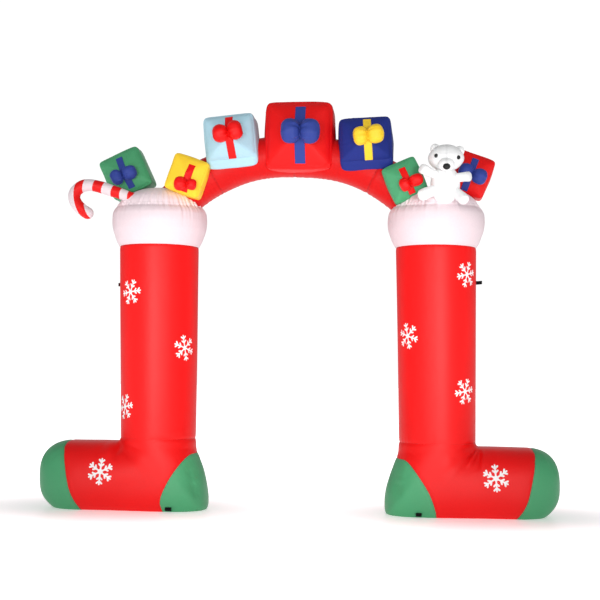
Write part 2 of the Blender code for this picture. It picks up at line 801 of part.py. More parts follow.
# ---------------------------------------------------------------- webbing
def band(name, path, width, across):
    """Closed strap: a racetrack path widened along the axis 'across' and thickened."""
    offset = Vector(across) * (width / 2.0)
    verts = [Vector(p) - offset for p in path] + [Vector(p) + offset for p in path]
    n = len(path)
    faces = [(k, (k + 1) % n, n + (k + 1) % n, n + k) for k in range(n)]
    obj = add_mesh(name, verts, faces, smooth=False)
    thick = obj.modifiers.new("thickness", "SOLIDIFY")
    thick.thickness = WEB_THICK
    thick.offset = 0.0
    thick.use_even_offset = True
    return obj


def racetrack(length, slot, steps=5):
    """Outline of a flattened loop: straight sides with round ends, centred on its root."""
    radius = (slot + WEB_THICK) / 2.0
    points = []
    for end in (1, -1):
        for k in range(steps + 1):
            a = -math.pi / 2.0 + math.pi * k / steps
            points.append((end * (length - radius + radius * math.cos(a)), end * radius * math.sin(a)))
    return points


def build_tether(row, clearance):
    name, side, height, reach, width, slot = row
    edge = side * (LEG_X + LEG_R_LOW + (LEG_R_TOP - LEG_R_LOW) * 0.8) + LEAN * (height - INSTEP_Z)
    path = [(edge + u, v, height) for u, v in racetrack(reach, slot)]
    loop = as_part(band(name, path, width, (0.0, 0.0, 1.0)), BLACK, WEB_ROUGH)
    boolean(loop, clearance, "DIFFERENCE")


def build_stake_tab(row, clearance):
    name, side, inwards, width, reach, slot = row
    x = side * (LEG_X - inwards)
    path = [(x, -0.164 - u, STAKE_TAB_Z + v) for u, v in racetrack(reach, slot)]
    loop = as_part(band(name, path, width, (1.0, 0.0, 0.0)), BLACK, WEB_ROUGH)
    boolean(loop, clearance, "DIFFERENCE")


# ---------------------------------------------------------------- assembly
clear_scene()
PARTS = new_collection("inflatable_arch")
CUTTERS = new_collection("cutters")
ROOT = bpy.data.objects.new("arch_frame", None)
ROOT.location = (0.0, AXIS_Y, 0.0)
PARTS.objects.link(ROOT)

for side_sign, side_tag in ((-1, "left"), (1, "right")):
    build_stocking(side_sign, side_tag)
    build_cuff(side_sign, side_tag)

left_clear = cuff_clearance(-1, "left")
right_clear = cuff_clearance(1, "right")
build_arch((left_clear, right_clear))
arch_clear, arch_slot = arch_clearance()
build_cane(left_clear)

boxes = {}
clears = {}
for gift_row in GIFTS:
    boxes[gift_row[0]] = build_gift(gift_row)
    if gift_row[0] in ("yellow", "inner_green"):
        clears[gift_row[0]] = gift_clearance(gift_row)
for gift_name in ("top_red", "light_blue", "dark_blue"):
    boolean(boxes[gift_name], arch_clear, "DIFFERENCE")
    boolean(boxes[gift_name], arch_slot, "DIFFERENCE")
boolean(boxes["light_blue"], clears["yellow"], "DIFFERENCE")
boolean(boxes["dark_blue"], clears["inner_green"], "DIFFERENCE")
for gift_name, cutter_obj in (("outer_green", left_clear), ("yellow", left_clear),
                              ("inner_green", right_clear), ("outer_red", right_clear)):
    boolean(boxes[gift_name], cutter_obj, "DIFFERENCE")
boolean(boxes["yellow"], arch_clear, "DIFFERENCE")
boolean(boxes["inner_green"], arch_clear, "DIFFERENCE")

build_bear(right_clear, (("bear_left_arm", clears["inner_green"]), ("bear_left_leg", clears["inner_green"])))

for tether_row in TETHER_LOOPS:
    leg_clear = as_cutter(loft("clear_leg_" + tether_row[0], leg_rings(tether_row[1], GAP)))
    build_tether(tether_row, leg_clear)
for tab_row in STAKE_TABS:
    foot_clear = as_cutter(loft("clear_foot_" + tab_row[0], foot_rings(tab_row[1], 1.5 * GAP)))
    build_stake_tab(tab_row, foot_clear)
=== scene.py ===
"""Dressed model of a walk-through inflatable arch.

Two cloth stockings with gathered cuffs carry a bowed tube, seven gifts with bows, a striped
candy cane and a small white bear. Every blown-up chamber is rebuilt here as sewn panels with
seams, gathers and tension folds. Metres, +Z up, the front faces -Y, +X to the right.
"""

import logging
import math
from dataclasses import dataclass
from enum import Enum

import bmesh
import bpy
import numpy as np
from mathutils import Matrix, Vector
from mathutils.bvhtree import BVHTree


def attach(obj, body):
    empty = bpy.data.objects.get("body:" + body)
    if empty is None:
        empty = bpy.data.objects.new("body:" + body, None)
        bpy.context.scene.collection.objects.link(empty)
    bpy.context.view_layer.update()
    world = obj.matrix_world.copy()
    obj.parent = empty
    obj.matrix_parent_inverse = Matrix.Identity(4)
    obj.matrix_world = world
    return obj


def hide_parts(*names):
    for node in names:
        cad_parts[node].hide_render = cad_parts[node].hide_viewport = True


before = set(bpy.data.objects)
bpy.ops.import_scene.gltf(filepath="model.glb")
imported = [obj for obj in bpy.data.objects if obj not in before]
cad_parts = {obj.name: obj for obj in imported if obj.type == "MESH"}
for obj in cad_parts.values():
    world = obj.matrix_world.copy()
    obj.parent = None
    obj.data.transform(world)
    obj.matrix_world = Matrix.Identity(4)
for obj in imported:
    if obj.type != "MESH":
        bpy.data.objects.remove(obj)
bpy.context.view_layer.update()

LOG = logging.getLogger("inflatable_arch")
Colour = tuple[float, float, float]
Tone = tuple[float, float, float, float]
Pair = tuple[float, float]
Spot = tuple[float, float, float]
Table = tuple[tuple[float, ...], ...]
Socket = bpy.types.NodeSocket

TAU = 2.0 * math.pi
MERGE = 0.00002

# Middle plane of the arch, and the slant of its legs: metres across for each metre up.
AXIS_Y = 0.030
LEAN = -0.012
# Heights of the seams between foot, leg, cuff side and cuff top.
INSTEP_Z = 0.415
CUFF_SEAM_Z = 1.541
SHOULDER_Z = 1.780
# The leg's axis at the instep, its radius at both ends and between, and the cuff's shift off it.
LEG_X = 0.818
LEG_LOW = 0.2207
LEG_TOP = 0.2330
LEG_MEAN = 0.227
CUFF_DX = -0.0145


class Side(Enum):
    """Which stocking, as seen from the front."""

    LEFT = -1
    RIGHT = 1

    @property
    def tag(self) -> str:
        """Prefix of the side's node names."""
        return self.name.lower()


# ---------------- finishes
class Nodes:
    """Adds and links the nodes of a material or of the surroundings."""

    # Sockets of a Mix node by the kind of its values: first, second, result.
    MIX = {"RGBA": (6, 7, 2), "FLOAT": (2, 3, 0)}

    def __init__(self, tree: bpy.types.NodeTree, end: str) -> None:
        """Takes a node tree, and the name of the node in it that the others lead to."""
        self.tree = tree
        self.end = tree.nodes[end]

    def feed(self, socket: Socket, value: object) -> None:
        """Links a socket to another or sets its value."""
        if isinstance(value, Socket):
            self.tree.links.new(value, socket)
        else:
            socket.default_value = value

    def fill(self, node: bpy.types.Node, **inputs: object) -> bpy.types.Node:
        """Fills or links a node's inputs.

        Args:
            node: Node to fill.
            **inputs: Socket values by socket name with spaces as underscores; names that start
                with a small letter set the node's own properties.

        Returns:
            The same node.
        """
        for key, value in inputs.items():
            if key[0].islower():
                setattr(node, key, value)
            else:
                self.feed(node.inputs[key.replace("_", " ")], value)
        return node

    def add(self, kind: str, **inputs: object) -> bpy.types.Node:
        """Adds a node of a kind, named without its ShaderNode prefix, and fills it."""
        return self.fill(self.tree.nodes.new("ShaderNode" + kind), **inputs)

    def finish(self, **inputs: object) -> None:
        """Fills or links inputs of the end node."""
        self.fill(self.end, **inputs)

    def maths(self, operation: str, *values: object) -> Socket:
        """Adds a Math node and returns its result.

        Args:
            operation: Math operation.
            *values: Numbers or sockets, in the node's order.

        Returns:
            The result socket.
        """
        node = self.add("Math", operation=operation)
        for socket, value in zip(node.inputs, values):
            self.feed(socket, value)
        return node.outputs[0]

    def wave(self, run: Socket, pitch: float) -> Socket:
        """Sine of a length, one turn for each pitch."""
        return self.maths("SINE", self.maths("MULTIPLY", run, TAU / pitch))

    def near(self, gap: Socket, reach: float) -> Socket:
        """Share that falls from 1 where the gap is zero to 0 at the reach."""
        return self.maths("MAXIMUM", self.maths("SUBTRACT", 1.0, self.maths("DIVIDE", gap, reach)), 0.0)

    def parts(self, vector: Socket) -> tuple[Socket, Socket, Socket]:
        """The three numbers of a vector."""
        return tuple(self.add("SeparateXYZ", Vector=vector).outputs)

    def measures(self, layer: str) -> tuple[Socket, Socket]:
        """The two measures that a mesh layer holds, in metres."""
        return self.parts(self.add("UVMap", uv_map=layer).outputs[0])[:2]

    def noise(self, scale: float, detail: float, roughness: float = 0.5, distortion: float = 0.0) -> Socket:
        """Adds noise over the object's own space.

        Args:
            scale: Swells for each metre.
            detail: Number of finer layers.
            roughness: Strength of the finer layers.
            distortion: How much the swells are warped.

        Returns:
            The noise, from 0 to 1.
        """
        place = self.add("TexCoord").outputs["Object"]
        node = self.add("TexNoise", Vector=place, Scale=scale, Detail=detail, Roughness=roughness,
                        Distortion=distortion)
        return node.outputs[0]

    def bump(self, strength: float, distance: float, height: Socket, base: Socket | None = None) -> Socket:
        """Adds a bump.

        Args:
            strength: Share of the bump that shows.
            distance: Height of the bump, in metres.
            height: Height share.
            base: Normal that the bump is laid on, or None for the mesh's own.

        Returns:
            The normal.
        """
        node = self.add("Bump", Strength=strength, Distance=distance, Height=height)
        if base is not None:
            self.feed(node.inputs["Normal"], base)
        return node.outputs[0]

    def blend(self, share: object, first: object, second: object, kind: str = "RGBA") -> Socket:
        """Mixes two colours or numbers by a share.

        Args:
            share: Number or socket from 0 to 1.
            first: Value at 0.
            second: Value at 1.
            kind: RGBA for colours, FLOAT for numbers.

        Returns:
            The mixed value.
        """
        node = self.add("Mix", data_type=kind)
        low, high, result = self.MIX[kind]
        self.feed(node.inputs[0], share)
        self.feed(node.inputs[low], first)
        self.feed(node.inputs[high], second)
        return node.outputs[result]


def shade(colour: Colour, factor: float) -> Tone:
    """The colour times a factor, with full alpha."""
    return (colour[0] * factor, colour[1] * factor, colour[2] * factor, 1.0)


def tones(colour: Colour, factors: Pair) -> list[Tone]:
    """Darkest and lightest tone of a colour."""
    return [shade(colour, factor) for factor in factors]


def fresh_material(name: str) -> tuple[bpy.types.Material, Nodes]:
    made = bpy.data.materials.new(name)
    made.use_nodes = True
    return made, Nodes(made.node_tree, "Principled BSDF")


@dataclass(frozen=True)
class Finish:
    """A surface finish: its material's name, its slot in the record and its colour."""

    name: str
    slot: str
    colour: Colour

    def material(self) -> bpy.types.Material:
        """Fetches the finish's material, or builds it the first time.

        Returns:
            The material.
        """
        found = bpy.data.materials.get(self.name)
        if found is None:
            found, kit = fresh_material(self.name)
            self.paint(kit)
        return found

    def paint(self, kit: Nodes) -> None:
        """Adds the finish's nodes."""
        raise NotImplementedError


@dataclass(frozen=True)
class ClothFinish(Finish):
    """Thin woven polyester: a fine weave, a satin gloss, uneven dye, stitched seams and painted shade in each
    seam's fold.
    """

    roughness: float = 0.46
    gloss: float = 0.26
    seam_shade: float = 0.22
    stripe: Colour | None = None

    # Dye: swells for each metre, share of the fine ones, darkest and lightest tone.
    CLOUDS = 2.6
    FLECKS = 95.0
    FLECK_SHARE = 0.35
    DYE = (0.86, 1.12)
    STRIPE_DYE = (0.93, 1.05)
    # Seam: width and tone of the painted shade in its fold, then place, half width, pitch, length share,
    # strength and tone of the row of stitches beside it.
    FOLD_SHADE_WIDTH = 0.006
    FOLD_SHADE_TONE = 0.45
    STITCH_GAP = 0.0065
    STITCH_HALF_WIDTH = 0.0006
    STITCH_PITCH = 0.0042
    STITCH_LENGTH = 0.66
    STITCH_STRENGTH = 0.5
    STITCH_TONE = 0.6
    # Relief: strength and height of crumples, pitch, strength and height of the weave, and
    # reach, pitch, strength and height of the puckers along a seam.
    CRUMPLE = (0.10, 0.012)
    THREAD = 0.0016
    WEAVE = (0.10, 0.0004)
    PUCKER_REACH = 0.018
    PUCKER_PITCH = 0.011
    PUCKER = (0.35, 0.0012)

    def paint(self, kit: Nodes) -> None:
        """Lays the dye, the painted shade in the seam folds, the stitches and the relief."""
        gap, run = kit.measures("seam")
        base = self.stitched(kit, self.dyed(kit), gap, run)
        normal = self.relief(kit, gap, run)
        kit.finish(Base_Color=base, Roughness=self.roughness, Specular_IOR_Level=self.gloss, Normal=normal)

    def dyed(self, kit: Nodes) -> Socket:
        """Base colour with cloudy dye variation, and stripes where the finish has them.

        Args:
            kit: Nodes of the material.

        Returns:
            The colour.
        """
        cloud = kit.maths("MULTIPLY", kit.noise(self.CLOUDS, 3.0, 0.55), 1.0 - self.FLECK_SHARE)
        mixed = kit.maths("MULTIPLY_ADD", kit.noise(self.FLECKS, 2.0, 0.6), self.FLECK_SHARE, cloud)
        colour = kit.blend(mixed, *tones(self.colour, self.DYE))
        if self.stripe is None:
            return colour
        inside = kit.maths("GREATER_THAN", kit.maths("FRACT", kit.measures("print")[0]), 0.5)
        return kit.blend(inside, colour, kit.blend(mixed, *tones(self.stripe, self.STRIPE_DYE)))

    def stitched(self, kit: Nodes, base: Socket, gap: Socket, run: Socket) -> Socket:
        """Paints shade into the fold of each seam and lays a row of stitches beside it.

        Args:
            kit: Nodes of the material.
            base: Colour without seams.
            gap: Distance from the nearest seam.
            run: Length along that seam.

        Returns:
            The colour.
        """
        # Painted shade along each seam's fold.
        fold = kit.maths("MULTIPLY", kit.near(gap, self.FOLD_SHADE_WIDTH), self.seam_shade)
        base = kit.blend(fold, base, shade(self.colour, self.FOLD_SHADE_TONE))
        off = kit.maths("ABSOLUTE", kit.maths("SUBTRACT", gap, self.STITCH_GAP))
        line = kit.maths("LESS_THAN", off, self.STITCH_HALF_WIDTH)
        turn = kit.maths("FRACT", kit.maths("DIVIDE", run, self.STITCH_PITCH))
        dash = kit.maths("MULTIPLY", line, kit.maths("LESS_THAN", turn, self.STITCH_LENGTH))
        share = kit.maths("MULTIPLY", dash, self.STITCH_STRENGTH)
        return kit.blend(share, base, shade(self.colour, self.STITCH_TONE))

    def relief(self, kit: Nodes, gap: Socket, run: Socket) -> Socket:
        """Bump of the weave, of crumpled cloth and of the puckers along a seam.

        Args:
            kit: Nodes of the material.
            gap: Distance from the nearest seam.
            run: Length along that seam.

        Returns:
            The normal.
        """
        across, along = kit.measures("weave")
        crumpled = kit.bump(*self.CRUMPLE, kit.noise(17.0, 4.0, 0.55, 0.4))
        threads = kit.maths("MAXIMUM", kit.wave(across, self.THREAD), kit.wave(along, self.THREAD))
        woven = kit.bump(*self.WEAVE, threads, crumpled)
        tuck = kit.maths("MULTIPLY", kit.near(gap, self.PUCKER_REACH), kit.wave(run, self.PUCKER_PITCH))
        return kit.bump(*self.PUCKER, tuck, woven)


@dataclass(frozen=True)
class PrintFinish(Finish):
    """Opaque ink laid on the cloth, a little patchy."""

    TONES = (0.95, 1.03)
    ROUGHNESS = 0.55
    GRAIN = (0.15, 0.0003)

    def paint(self, kit: Nodes) -> None:
        """Lays the patches and the grain."""
        patches = kit.blend(kit.noise(60.0, 2.0), *tones(self.colour, self.TONES))
        normal = kit.bump(*self.GRAIN, kit.noise(900.0, 1.0))
        kit.finish(Base_Color=patches, Roughness=self.ROUGHNESS, Normal=normal)


@dataclass(frozen=True)
class WebbingFinish(Finish):
    """Woven strap with ribs across its width, painted lighter on the ribs' tops as a painted highlight and
    darker between them as painted shade.
    """

    RIB = 0.0018
    CORD = 1.6
    # Darkest and lightest tone: painted shade in the weave's hollows and painted highlight on its ribs.
    TONES = (0.6, 2.2)
    ROUGHNESS = 0.7
    GLOSS = 0.08
    WEAVE = (0.5, 0.0005)

    def paint(self, kit: Nodes) -> None:
        """Lays the ribs and the cords between them, with painted highlight on their tops and painted shade
        between them.
        """
        across, along = kit.measures("weave")
        rib = kit.maths("ADD", kit.wave(along, self.RIB), 1.0)
        height = kit.maths("MULTIPLY", rib, kit.maths("ADD", kit.wave(across, self.RIB * self.CORD), 1.4))
        # Painted highlight and shade: the colour follows the weave's height.
        colour = kit.blend(kit.maths("MULTIPLY", height, 0.25), *tones(self.colour, self.TONES))
        normal = kit.bump(*self.WEAVE, height)
        kit.finish(Base_Color=colour, Roughness=self.ROUGHNESS, Specular_IOR_Level=self.GLOSS, Normal=normal)


RED = ClothFinish("red_polyester", "red_cloth", (0.800, 0.0034, 0.0036), seam_shade=0.75)
# Painted shade: the arch's red is a darker copy of the stockings' red, standing in for the shade that the
# gifts throw on the tube.
SHADED_ARCH_RED = ClothFinish("arch_polyester_painted_shade", "red_cloth", (0.630, 0.0020, 0.0022), gloss=0.20, seam_shade=0.45)
GREEN = ClothFinish("green_polyester", "green_cloth", (0.070, 0.352, 0.158), seam_shade=0.75)
# Painted light: the cuff cloth's pink tint stands in for red light bounced up from the stockings.
RED_BOUNCE_WHITE = ClothFinish("cuff_polyester_painted_red_bounce", "white_cloth", (0.800, 0.670, 0.705), seam_shade=0.0)
# Painted light: the top's white is a lighter copy of the side's cloth, standing in for light on the upturned
# top.
LIT_DOME_WHITE = ClothFinish("cuff_top_polyester_painted_light", "white_cloth", (0.920, 0.780, 0.815), seam_shade=0.0)
BEAR_WHITE = ClothFinish("bear_polyester", "bear_cloth", (0.940, 0.950, 0.950))
LIGHT_BLUE = ClothFinish("light_blue_polyester", "light_blue_cloth", (0.430, 0.680, 0.790))
DARK_BLUE = ClothFinish("dark_blue_polyester", "dark_blue_cloth", (0.019, 0.033, 0.225), gloss=0.10)
YELLOW = ClothFinish("yellow_polyester", "yellow_cloth", (0.960, 0.640, 0.035))
BOW_BLUE = ClothFinish("bow_blue_polyester", "bow_blue_cloth", (0.034, 0.060, 0.300), gloss=0.16)
BLACK = ClothFinish("black_polyester", "black_cloth", (0.014, 0.015, 0.015), roughness=0.4)
CANE = ClothFinish("striped_polyester", "cane_cloth", (0.800, 0.0042, 0.0042), stripe=(0.800, 0.690, 0.720))
PRINT = PrintFinish("white_print", "white_cloth", (0.900, 0.870, 0.870))
WEBBING = WebbingFinish("black_webbing", "webbing", (0.006, 0.006, 0.007))


# ---------------- curves, noise and seams
def cubic(x: np.ndarray, xs: np.ndarray, ys: np.ndarray, slope: np.ndarray) -> np.ndarray:
    """Smooth curve through stations, held level past its ends.

    Args:
        x: Where to read the curve.
        xs: Rising stations.
        ys: Values at the stations.
        slope: Slopes at the stations.

    Returns:
        The curve's values.
    """
    x = np.clip(x, xs[0], xs[-1])
    k = np.clip(np.searchsorted(xs, x) - 1, 0, len(xs) - 2)
    wide = xs[k + 1] - xs[k]
    t = (x - xs[k]) / wide
    near = (1.0 + 2.0 * t) * (1.0 - t) ** 2 * ys[k] + t * (1.0 - t) ** 2 * wide * slope[k]
    return near + t * t * (3.0 - 2.0 * t) * ys[k + 1] + t * t * (t - 1.0) * wide * slope[k + 1]


class Rows:
    """Smooth curve through a short table, without overshoot between its rows."""

    def __init__(self, table: Table, column: int = 1) -> None:
        """Prepares the slopes at the rows.

        Args:
            table: Rows of numbers, the first column rising.
            column: Column that the curve follows.
        """
        rows = np.array(table, float)
        self.xs, self.ys = rows[:, 0], rows[:, column]
        step = np.diff(self.ys) / np.diff(self.xs)
        same = step[:-1] * step[1:] > 0.0
        total = np.where(same, step[:-1] + step[1:], 1.0)
        inner = np.where(same, 2.0 * step[:-1] * step[1:] / total, 0.0)
        self.slope = np.concatenate([step[:1], inner, step[-1:]])

    def __call__(self, x: np.ndarray | float) -> np.ndarray:
        """The curve's value at x."""
        return cubic(x, self.xs, self.ys, self.slope)


def signed_power(value: np.ndarray, power: float) -> np.ndarray:
    """|value| to a power, with the value's own sign."""
    return np.sign(value) * np.abs(value) ** power


def rounded(rise: float, power: float) -> float:
    """Height of a round end, 1 where the rise is zero and 0 where it is 1."""
    return max(0.0, 1.0 - max(0.0, rise) ** power) ** (1.0 / power)


def ease(value: np.ndarray, low: float, high: float) -> np.ndarray:
    """Smooth step from 0 at low to 1 at high."""
    t = np.clip((value - low) / (high - low), 0.0, 1.0)
    return t * t * (3.0 - 2.0 * t)


def bell(gap: np.ndarray, width: float) -> np.ndarray:
    """Share that falls from 1 on a line, as a bell of a half width."""
    return np.exp(-((gap / width) ** 2))


def fade(gap: np.ndarray, reach: np.ndarray | float) -> np.ndarray:
    """Share that falls from 1 on a line, at a rate set by the reach."""
    return np.exp(-gap / reach)


def crowded(count: int, share: float) -> np.ndarray:
    """Stations from -1 to 1, even but for a share that crowds them towards both ends."""
    even = np.linspace(-1.0, 1.0, count)
    return share * np.sin(even * math.pi / 2.0) + (1.0 - share) * even


def turns(count: int) -> np.ndarray:
    """Angles round a section, the last one the same place as the first."""
    return np.linspace(0.0, TAU, count + 1)


def lattice(down: np.ndarray, across: np.ndarray) -> list[np.ndarray]:
    """Grids of the values down the rows and of those across the columns."""
    return np.meshgrid(down, across, indexing="ij")


def unit(vectors: np.ndarray) -> np.ndarray:
    """The vectors at length 1."""
    return vectors / np.maximum(np.linalg.norm(vectors, axis=-1, keepdims=True), 1e-12)


def lengths(path: np.ndarray) -> np.ndarray:
    """Length run up to each point of a path."""
    return np.concatenate([[0.0], np.cumsum(np.linalg.norm(np.diff(path, axis=0), axis=1))])


def drift_noise(points: np.ndarray, size: float, seed: int, waves: int = 7) -> np.ndarray:
    """Smooth uneven field over space.

    Args:
        points: Places, with 3 numbers in the last axis.
        size: Typical width of a swell, in metres.
        seed: Picks one field of many.
        waves: How many plane waves are summed.

    Returns:
        Values of about -1 to 1.
    """
    rng = np.random.default_rng(seed)
    total = np.zeros(points.shape[:-1])
    for _ in range(waves):
        way = unit(rng.normal(size=3))
        pace = TAU / (size * rng.uniform(0.8, 2.2))
        total += np.sin(points @ way * pace + rng.uniform(0.0, TAU))
    return total / math.sqrt(waves) * 0.8


def row_noise(run: np.ndarray, size: float, seed: int, waves: int = 5) -> np.ndarray:
    """Smooth uneven values along a length.

    Args:
        run: Lengths.
        size: Typical width of a swell, in metres.
        seed: Picks one row of many.
        waves: How many waves are summed.

    Returns:
        Values of about -1 to 1.
    """
    rng = np.random.default_rng(seed)
    total = np.zeros(run.shape)
    for _ in range(waves):
        pace = TAU / (size * rng.uniform(0.7, 2.6))
        total += np.sin(run * pace + rng.uniform(0.0, TAU))
    return total / math.sqrt(waves) * 0.9


@dataclass(frozen=True)
class Sway:
    """Slow unevenness of a blown-up cloth: its height and the width of its swells."""

    rise: float
    size: float

    def height(self, points: np.ndarray, seed: int) -> np.ndarray:
        """Height of the cloth's unevenness at places."""
        return self.rise * drift_noise(points, self.size, seed)


@dataclass(frozen=True)
class Pleats:
    """Pleats side by side along a seam: their pitch, and how far and how often they wander."""

    pitch: float
    wander: float
    drift: float

    def wave(self, run: np.ndarray, seed: int, shift: np.ndarray | float = 0.0) -> np.ndarray:
        """Height share of the pleats; the shift moves the place where their wandering is read."""
        return np.sin(TAU * run / self.pitch + self.wander * row_noise(run + shift, self.drift, seed))


@dataclass(frozen=True)
class Tuck:
    """How a seam draws its cloth in: a valley along it, and pleats that run out beside it."""

    depth: float
    width: float
    rise: float
    reach: float

    def valley(self, gap: np.ndarray) -> np.ndarray:
        """Depth of the valley at a distance from the seam."""
        return self.depth * bell(gap, self.width)

    def height(self, gap: np.ndarray) -> np.ndarray:
        """Height of the pleats at a distance from the seam."""
        return self.rise * fade(gap, self.reach)


def beside(p: np.ndarray, q: np.ndarray, start: Pair, end: Pair) -> tuple[np.ndarray, np.ndarray, np.ndarray]:
    """Places seen from a straight line between two ends.

    Args:
        p: First coordinates.
        q: Second coordinates.
        start: The line's start.
        end: Its end.

    Returns:
        Share of the line nearest each place, and the two offsets from there.
    """
    p0, q0 = start
    dp, dq = end[0] - p0, end[1] - q0
    t = np.clip(((p - p0) * dp + (q - q0) * dq) / (dp * dp + dq * dq), 0.0, 1.0)
    return t, p - p0 - t * dp, q - q0 - t * dq


class SeamLine:
    """A seam across a foot, seen square from the front: a smooth line through rows of (s, z)."""

    STEPS = 8
    FAR = 9.0

    def __init__(self, rows: Table, beyond: float) -> None:
        """Draws the line.

        Args:
            rows: Distances outwards of the leg axis and heights, from the top down.
            beyond: 1.0 if the panel lies outwards of the seam, -1.0 if inwards.
        """
        points = np.array(rows)
        before = np.concatenate([points[:1], points[:-2]])[:, None]
        after = np.concatenate([points[2:], points[-1:]])[:, None]
        t = np.linspace(0.0, 1.0, self.STEPS + 1)[None, :-1, None]
        a, b = points[:-1, None], points[1:, None]
        fine = 0.5 * (2.0 * a + (b - before) * t + (2.0 * before - 5.0 * a + 4.0 * b - after) * t * t
                      + (3.0 * a - before - 3.0 * b + after) * t ** 3)
        self.line = np.concatenate([fine.reshape(-1, 2), points[-1:]])
        self.beyond = beyond

    def measure(self, s: np.ndarray, z: np.ndarray) -> tuple[np.ndarray, np.ndarray]:
        """Distances from the seam, above zero on the panel, and lengths along the seam.

        Args:
            s: Distances outwards of the leg axis.
            z: Heights.

        Returns:
            The distances and the lengths.
        """
        near = np.full(s.shape, self.FAR)
        sign = np.zeros(s.shape)
        along = np.zeros(s.shape)
        start = 0.0
        for (s0, z0), (s1, z1) in zip(self.line, self.line[1:]):
            size = math.hypot(s1 - s0, z1 - z0)
            t, off_s, off_z = beside(s, z, (s0, z0), (s1, z1))
            off = np.hypot(off_s, off_z)
            closer = off < near
            near = np.where(closer, off, near)
            sign = np.where(closer, np.sign(off_z * (s1 - s0) - off_s * (z1 - z0)), sign)
            along = np.where(closer, start + t * size, along)
            start += size
        return near * sign * self.beyond, along


@dataclass(frozen=True)
class Fold:
    """A crease in a stocking's front, from one place (s, z) to another.

    s is the distance outwards of the leg axis. A positive rise is a ridge, a negative a trough.
    """

    s0: float
    z0: float
    s1: float
    z1: float
    width: float
    rise: float

    # Height share of a crease at its ends, and how near to its ends the fading is read.
    END = 0.35
    TIP = 0.03

    def height(self, s: np.ndarray, z: np.ndarray) -> np.ndarray:
        """Height of the crease at the places, fading out at both ends.

        Args:
            s: Distances outwards of the leg axis.
            z: Heights.

        Returns:
            The rise at each place.
        """
        t, off_s, off_z = beside(s, z, (self.s0, self.z0), (self.s1, self.z1))
        middle = np.sin(math.pi * np.clip(t, self.TIP, 1.0 - self.TIP))
        share = self.END + (1.0 - self.END) * middle
        return self.rise * share * np.exp(-(off_s ** 2 + off_z ** 2) / self.width ** 2)


# ---------------- cloth
@dataclass
class Cloth:
    """Grid of points over one blown-up surface: a row per ring, with its seam measures."""

    points: np.ndarray
    gap: np.ndarray
    run: np.ndarray
    print_lead: np.ndarray | None = None

    @staticmethod
    def of(points: np.ndarray) -> "Cloth":
        """A cloth with no seam near it."""
        return Cloth(points, np.full(points.shape[:2], 1.0), np.zeros(points.shape[:2]))

    def outward(self) -> np.ndarray:
        """Unit normals of a grid whose columns close on themselves.

        Returns:
            One vector for each point, pointing out of the chamber.
        """
        ring = self.points[:, :-1]
        ahead = np.roll(ring, -1, axis=1) - np.roll(ring, 1, axis=1)
        normal = unit(np.cross(ahead, np.gradient(ring, axis=0)))
        if ((ring - ring.mean(axis=1, keepdims=True)) * normal).sum() < 0.0:
            normal = -normal
        return np.concatenate([normal, normal[:, :1]], axis=1)

    def swell(self, amount: np.ndarray) -> None:
        """Moves each point out along its normal by an amount, the same where columns meet."""
        amount = amount.copy()
        amount[:, -1] = amount[:, 0]
        self.points = self.points + self.outward() * amount[..., None]

    def near_seam(self, gap: np.ndarray, run: np.ndarray) -> None:
        """Notes a seam where it is nearer than those noted before."""
        closer = np.abs(gap) < self.gap
        self.gap = np.where(closer, np.abs(gap), self.gap)
        self.run = np.where(closer, run, self.run)

    def weave(self) -> np.ndarray:
        """Lengths across and down the cloth, in metres."""
        across = np.linalg.norm(np.diff(self.points, axis=1), axis=-1)
        down = np.linalg.norm(np.diff(self.points, axis=0), axis=-1)
        u = np.concatenate([np.zeros((len(across), 1)), np.cumsum(across, axis=1)], axis=1)
        v = np.concatenate([np.zeros((1, down.shape[1])), np.cumsum(down, axis=0)], axis=0)
        return np.stack([u, v], axis=-1)

    def layers(self) -> dict[str, np.ndarray]:
        """The measures that the mesh carries, one pair for each point."""
        pairs = {"weave": self.weave(), "seam": np.stack([self.gap, self.run], axis=-1)}
        if self.print_lead is not None:
            pairs["print"] = np.stack([self.print_lead, self.print_lead], axis=-1)
        return {name: pair.reshape(-1, 2) for name, pair in pairs.items()}


Added = list[tuple[int, int, float]]


def clip_cells(level: np.ndarray) -> tuple[list[tuple[int, ...]], Added]:
    """Faces of the part of a grid where the level is below zero.

    Args:
        level: One value for each grid point.

    Returns:
        Faces as indices, and the added points as (first, second, share) between grid points.
    """
    rows, columns = level.shape
    flat = level.ravel()
    index = np.arange(rows * columns).reshape(rows, columns)
    corner = np.stack([index[:-1, :-1], index[:-1, 1:], index[1:, 1:], index[1:, :-1]], axis=-1)
    corner = corner.reshape(-1, 4)
    below = flat[corner] < 0.0
    faces = [tuple(quad) for quad in corner[below.all(axis=1)].tolist()]
    added: Added = []
    seen: dict[tuple[int, int], int] = {}
    for quad in corner[below.any(axis=1) & ~below.all(axis=1)].tolist():
        face = []
        for here, there in zip(quad, quad[1:] + quad[:1]):
            if flat[here] < 0.0:
                face.append(here)
            if (flat[here] < 0.0) != (flat[there] < 0.0):
                first, second = sorted((here, there))
                if (first, second) not in seen:
                    share = flat[first] / (flat[first] - flat[second])
                    seen[first, second] = rows * columns + len(added)
                    added.append((first, second, float(np.clip(share, 0.02, 0.98))))
                face.append(seen[first, second])
        if len(face) > 2:
            faces.append(tuple(face))
    return faces, added


def with_added(values: np.ndarray, added: Added) -> np.ndarray:
    """A row for each grid point, followed by a row for each added point."""
    if not added:
        return values
    first, second, share = (np.array(column) for column in zip(*added))
    share = share[:, None]
    return np.concatenate([values, values[first] * (1.0 - share) + values[second] * share])


def put(name: str, data: bpy.types.ID) -> bpy.types.Object:
    """Puts a mesh, a light or a camera in the scene as an object."""
    obj = bpy.data.objects.new(name, data)
    bpy.context.scene.collection.objects.link(obj)
    return obj


